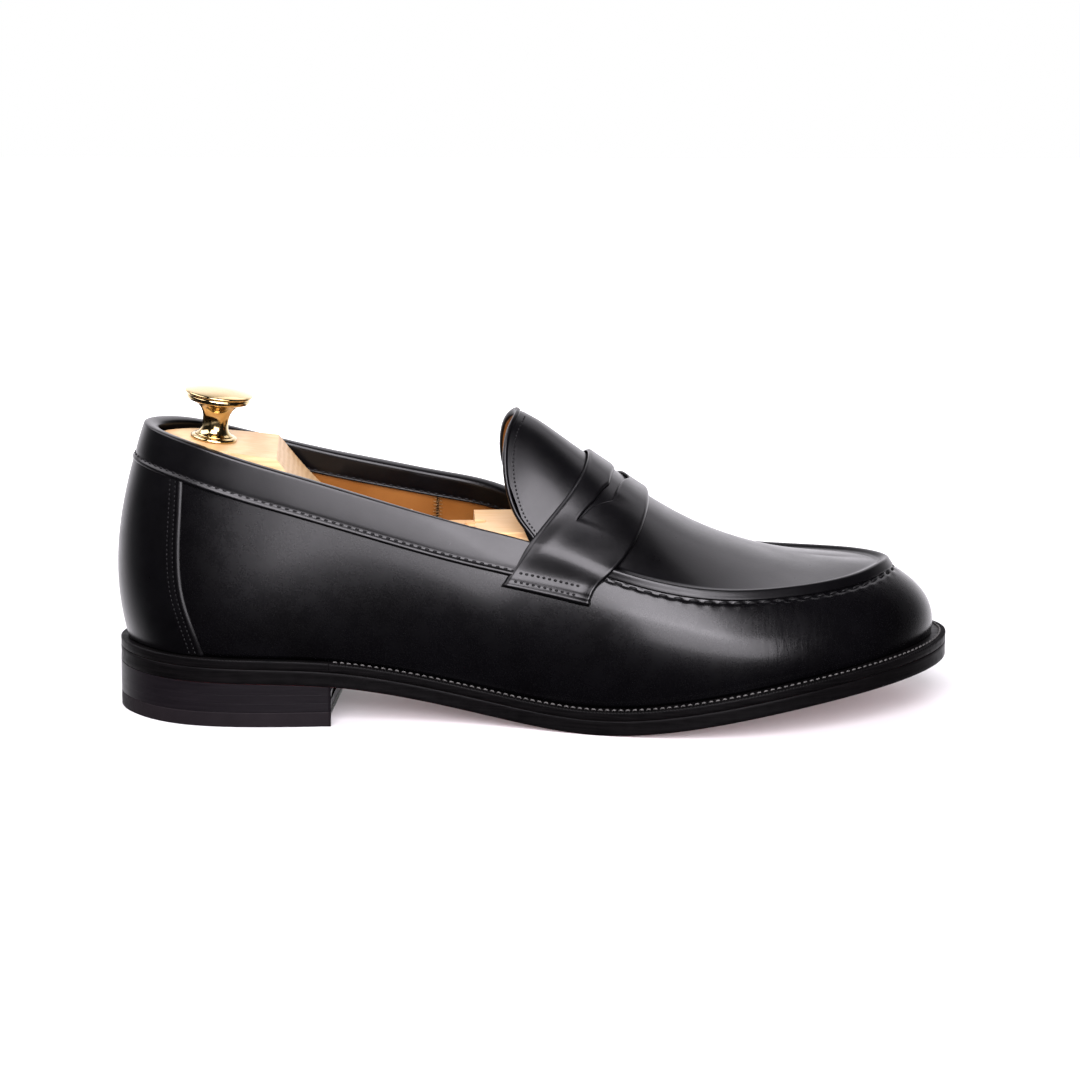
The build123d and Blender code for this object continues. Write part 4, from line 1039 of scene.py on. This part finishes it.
def between(edges, v):
    """Angle and w at shares v of the way from the rear edge to the front edge."""
    (back, low), (front, high) = edges
    return back[:, None] * (1 - v) + front[:, None] * v, low[:, None] * (1 - v) + high[:, None] * v


def slot_cuts(edges):
    """Share of the strap's width at the slot's rear and front edge, on each row."""
    v = np.linspace(0, 1, 401)
    plain = upper(*between(edges, v), STRAP_LIFT - .3)
    width = run(plain, 1)[:, -1:]
    y = -np.abs(plain[..., 1] - SLOT_MIDDLE)
    rear, fore = [np.array([np.interp(0, row, v) for row in plain[..., 0] - np.interp(y, *np.array(edge).T)])
                  for edge in (SLOT_BACK, SLOT_FRONT)]
    tip = np.argmax(np.array([np.interp(cut, v, row) for cut, row in zip(rear, y)]) > SLOT_TIP)
    rear[:tip] = rear[tip]
    fore[:tip] = rear[:tip]
    return rear[:, None], fore[:, None], width


def strap_half(side):
    """One half of the strap: its places on the upper, and the heights of its face and back."""
    edges = strap_net(side, STRAP_ROWS)
    rear, fore, width = slot_cuts(edges)
    edge = EDGE_COLUMNS / width
    v = np.concatenate([edge, rear - (rear - edge[:, -1:]) * REAR_COLUMNS,
                        fore + (1 - edge[:, -1:] - fore) * FORE_COLUMNS, 1 - edge[:, ::-1]], 1)
    angle, w = between(edges, v)
    plain = upper(angle, w, STRAP_LIFT)
    across, up = run(plain, 1), run(plain, 0)
    to_front = across[:, -1:] - across
    drop = profile(across, SKIVED_EDGES)[0] + profile(to_front, SKIVED_EDGES)[1]

    behind = np.arange(v.shape[1]) < SLOT_COLUMN
    rear_lip, fore_lip = across[:, [SLOT_COLUMN - 1]], across[:, [SLOT_COLUMN]]
    from_slot = np.where(behind, rear_lip - across, across - fore_lip)
    near_tip = ease(np.abs(plain[:, [SLOT_COLUMN], 1] - SLOT_MIDDLE), 17.5, 21)
    rear_drop, fore_drop = profile(from_slot, SLOT_LIPS)
    fore_drop = (1 - near_tip) * fore_drop - near_tip * profile(from_slot, SLOT_DIP)[0]
    gap = np.linalg.norm(plain[:, SLOT_COLUMN] - plain[:, SLOT_COLUMN - 1], axis=-1)[:, None]
    drop += ease(gap, .02, .3) * np.where(behind, rear_drop, fore_drop)

    # Above its foot the strap swells before it lies flat, over a longer way at its rear edge.
    climb = np.where(up > FOOT_DEPTH, FOOT_DEPTH + (up - FOOT_DEPTH) * (.62 + .45 * v), up)
    foot = profile(climb, FOOT_PROFILE)[0] * (1 - ease(climb, FOOT_DEPTH, 14.5)) + .12 * bump(climb, 15, 7)
    foot += ease(v, 0, .22) * (1 - ease(v, .4, 1)) * bump(climb, 16.5, 10)
    corner = np.interp(to_front, [0, 1.2, 2.0, 2.8, 3.5], [0, 0, -.35, -.6, 0])
    corner = corner * (1 - ease(up, 7, 11)) * ease(up, 1.5, 2.5)
    face = np.maximum(STRAP_LIFT + drop + foot + corner, .25)
    on_wall = 1 - ease(up, 0, 4)
    back = np.minimum(STRAP_LIFT - STRAP, face - .15) * (1 - on_wall) + .1 * on_wall
    return angle, w, up, across[0], to_front[0], upper(angle, w, face), upper(angle, w, back)


SLOT_COLUMN = len(EDGE_COLUMNS) + len(REAR_COLUMNS)     # the first column ahead of the slot


def make_strap():
    halves = [strap_half(side) for side, _ in SIDES]
    outer, inner = [mirrored(halves[0][k], halves[1][k]) for k in (5, 6)]
    n, k = outer.shape[:2]
    faces = [face for face in net_faces(n, k) if face[0] % k != SLOT_COLUMN - 1]
    thick_sheet("strap_skin", outer, inner, faces, CALF, "strap")
    for (angle, w, up, to_back, to_front, _, _), (_, name) in zip(halves, SIDES):
        keep = np.flatnonzero((to_back > 2.2) & (to_front > 2.6))
        for row, distance, height in ((1, 3.0, 1.42), (2, 6.5, 1.38)):
            line = [(np.interp(distance, up[:, j], angle[:, j]), np.interp(distance, up[:, j], w[:, j]))
                    for j in keep]
            path, out = line_path(*np.array(line).T, height)
            black_stitches(f"strap_stitching_{name}_{row}", path, out, STRAP_STITCH)


def make_strap_backing():
    v = np.linspace(.26, .93, 24)
    halves = [between(strap_net(side, np.linspace(.1, 1, 50)), v) for side, _ in SIDES]
    angle, w = [mirrored(lateral, medial) for lateral, medial in zip(*halves)]
    sheet_piece("strap_backing_skin", upper(angle, w, SLIP + BAND), upper(angle, w, SLIP + .05), CALF,
                "strap_backing")


# ---------------------------------------------------------------- knob
KNOB_SEAT = (-114.7, TREE_Y, 96.475)
KNOB_LEAN = 7.21       # degrees forward, square to the top of the heel block
# Radius and height above the seat.
BASE_PROFILE = [
    (0, .06), (8.0, .06), (8.2, .2), (8.25, .5), (8.2, .9), (8.0, 1.25), (7.6, 1.5), (7.0, 1.6), (0, 1.6)]
KNOB_PROFILE = [
    (0, 1.6), (6.6, 1.6), (6.72, 1.75), (6.6, 1.95), (6.2, 2.15), (5.65, 2.6), (5.1, 3.3), (4.75, 4.3),
    (4.6, 5.6), (4.6, 7.0), (4.72, 8.4), (5.1, 9.8), (5.75, 11.0), (6.7, 12.0), (8.0, 12.9), (9.4, 13.6),
    (10.3, 13.95), (10.75, 14.12), (10.98, 14.4), (11.12, 14.9), (11.2, 15.35), (11.12, 15.62),
    (10.98, 15.8), (11.05, 15.98), (11.4, 16.12), (11.75, 16.3), (11.95, 16.55), (12.0, 16.8),
    (11.9, 17.02), (11.6, 17.2), (11.0, 17.38), (9.8, 17.66), (8, 17.99), (6, 18.28), (4, 18.5),
    (2, 18.65), (0, 18.7)]


def turned_brass(name, rows, node):
    """A brass piece turned about the knob's axis."""
    lean = math.radians(KNOB_LEAN)
    axis = np.array([math.sin(lean), 0, math.cos(lean)])
    ahead = np.array([math.cos(lean), 0, -math.sin(lean)])
    around = np.linspace(0, 2 * math.pi, 97)[:-1, None]
    out = ahead * np.cos(around) + np.array([0, 1, 0]) * np.sin(around)
    radius, height = np.array(rows).T
    points = np.array(KNOB_SEAT) + out[:, None] * radius[:, None] + axis * height[:, None]
    add_piece(name, points, net_faces(len(around), len(rows), True), BRASS, body="heel_block",
              nodes=[node])


# ---------------------------------------------------------------- floor, light and camera
AIM = Vector((0, 0, .05))
COOL = (.975, .935, 1)
# Brightness of the world by direction, from the near side to the back.
WORLD_STOPS = ((.50, .008), (.67, .05), (.75, .36), (.86, .90))


def add_light(name, azimuth, elevation, distance, size, power):
    """An area light aimed at the shoe: azimuth 0 is in front of its lateral side, 90 at its toe."""
    data = bpy.data.lights.new(name, "AREA")
    data.shape = "RECTANGLE"
    data.size, data.size_y = size
    data.energy = power
    data.color = COOL
    light = add_object(name, data)
    a, e = math.radians(azimuth), math.radians(elevation)
    light.location = Vector((math.sin(a) * math.cos(e), -math.cos(a) * math.cos(e), math.sin(e))) * distance
    light.rotation_mode = "QUATERNION"
    light.rotation_quaternion = (AIM - light.location).to_track_quat("-Z", "Y")


def make_floor():
    """A plain white floor that glows: painted light from its emission, weak near the shoe and full at the
    back, brightens it into the white behind it, and it keeps out of the reflections.
    """
    mesh = bpy.data.meshes.new("floor")
    mesh.from_pydata([(-1.6, -.75, 0), (1.6, -.75, 0), (1.6, 1.3, 0), (-1.6, 1.3, 0)], [], [(0, 1, 2, 3)])
    look = Look("floor", Base_Color=(.62, .62, .62, 1), Roughness=.8, Specular_IOR_Level=.1)
    # Painted light: the emission makes the floor glow, at .12 of full strength near the shoe and up to 1 at
    # the back.
    look.shader.inputs["Emission Color"].default_value = (1, 1, 1, 1)
    painted_glow = look.spread(look.axis(look.coordinates, 1), .0, .45, .12, 1)
    look.links.new(painted_glow, look.shader.inputs["Emission Strength"])
    mesh.materials.append(look.material)
    floor = add_object("floor", mesh)
    floor.visible_glossy = False


def make_world():
    """White behind the shoe, dark on the near side so that the leather keeps its black."""
    world = bpy.data.worlds.new("studio")
    world.use_nodes = True
    bpy.context.scene.world = world
    nodes, links = world.node_tree.nodes, world.node_tree.links
    soft = nodes["Background"]
    soft.inputs["Strength"].default_value = 2.2
    behind = nodes.new("ShaderNodeVectorMath")
    behind.operation = "DOT_PRODUCT"
    behind.inputs[1].default_value = (0, .95, -.30)
    links.new(nodes.new("ShaderNodeTexCoord").outputs["Generated"], behind.inputs[0])
    share = nodes.new("ShaderNodeMapRange")
    share.inputs["From Min"].default_value = -1
    links.new(behind.outputs["Value"], share.inputs["Value"])
    ramp = nodes.new("ShaderNodeValToRGB")
    links.new(share.outputs[0], ramp.inputs[0])
    while len(ramp.color_ramp.elements) < len(WORLD_STOPS):
        ramp.color_ramp.elements.new(.5)
    for element, (place, grey) in zip(ramp.color_ramp.elements, WORLD_STOPS):
        element.position = place
        element.color = (grey * .975, grey * .945, grey, 1)
    links.new(ramp.outputs[0], soft.inputs["Color"])
    white = nodes.new("ShaderNodeBackground")
    white.inputs["Color"].default_value = (1, 1, 1, 1)
    mix = nodes.new("ShaderNodeMixShader")
    path = nodes.new("ShaderNodeLightPath")
    links.new(path.outputs["Is Camera Ray"], mix.inputs[0])
    links.new(soft.outputs[0], mix.inputs[1])
    links.new(white.outputs[0], mix.inputs[2])
    links.new(mix.outputs[0], nodes["World Output"].inputs["Surface"])


def make_camera():
    """A long lens, low in front of the shoe's lateral side."""
    elevation, yaw, roll = math.radians(13.90), math.radians(-2.48), math.radians(.47)
    distance = 1.467
    target = Vector((.0012, AXIS_Y * MM, .0594))
    back = Vector((math.sin(yaw) * math.cos(elevation), -math.cos(yaw) * math.cos(elevation),
                   math.sin(elevation)))
    data = bpy.data.cameras.new("camera")
    data.sensor_width = 36
    data.lens = 136.95
    camera = add_object("camera", data)
    camera.location = target + back * distance
    camera.rotation_mode = "QUATERNION"
    camera.rotation_quaternion = Quaternion(back, roll) @ (-back).to_track_quat("-Z", "Y")
    bpy.context.scene.camera = camera


# ---------------------------------------------------------------- everything in its order
dress_kept_nodes()
make_outsole()
make_welt()
make_heel()
make_vamp()
make_crown("apron_skin", 0.0, -UPPER, CALF, "apron", lap=True)
make_crown("tongue_lining_skin", -UPPER - SLIP, -UPPER - SLIP - LINING, LINING_TAN,
           "tongue_lining")
make_tongue_edge()
make_linings()
for side, side_name in SIDES:
    make_lining_seam(side, f"lining_zigzag_{side_name}")
make_collar()
make_counter_cover()
make_strap()
make_strap_backing()
turned_brass("knob_base", BASE_PROFILE, "tree_knob_base")
turned_brass("knob", KNOB_PROFILE, "tree_knob")

make_floor()
make_world()
make_camera()
add_light("key_high", -3, 39, 1.9, (1.36, 1.24), 79)
add_light("key_low", 12, 14.5, 1.15, (.86, .50), 12)
add_light("left", -92, 46, 1.6, (1.8, .9), 24)
add_light("back", 150, 50, 1.6, (1.2, .8), 5)
bpy.context.scene.view_settings.view_transform = "Standard"
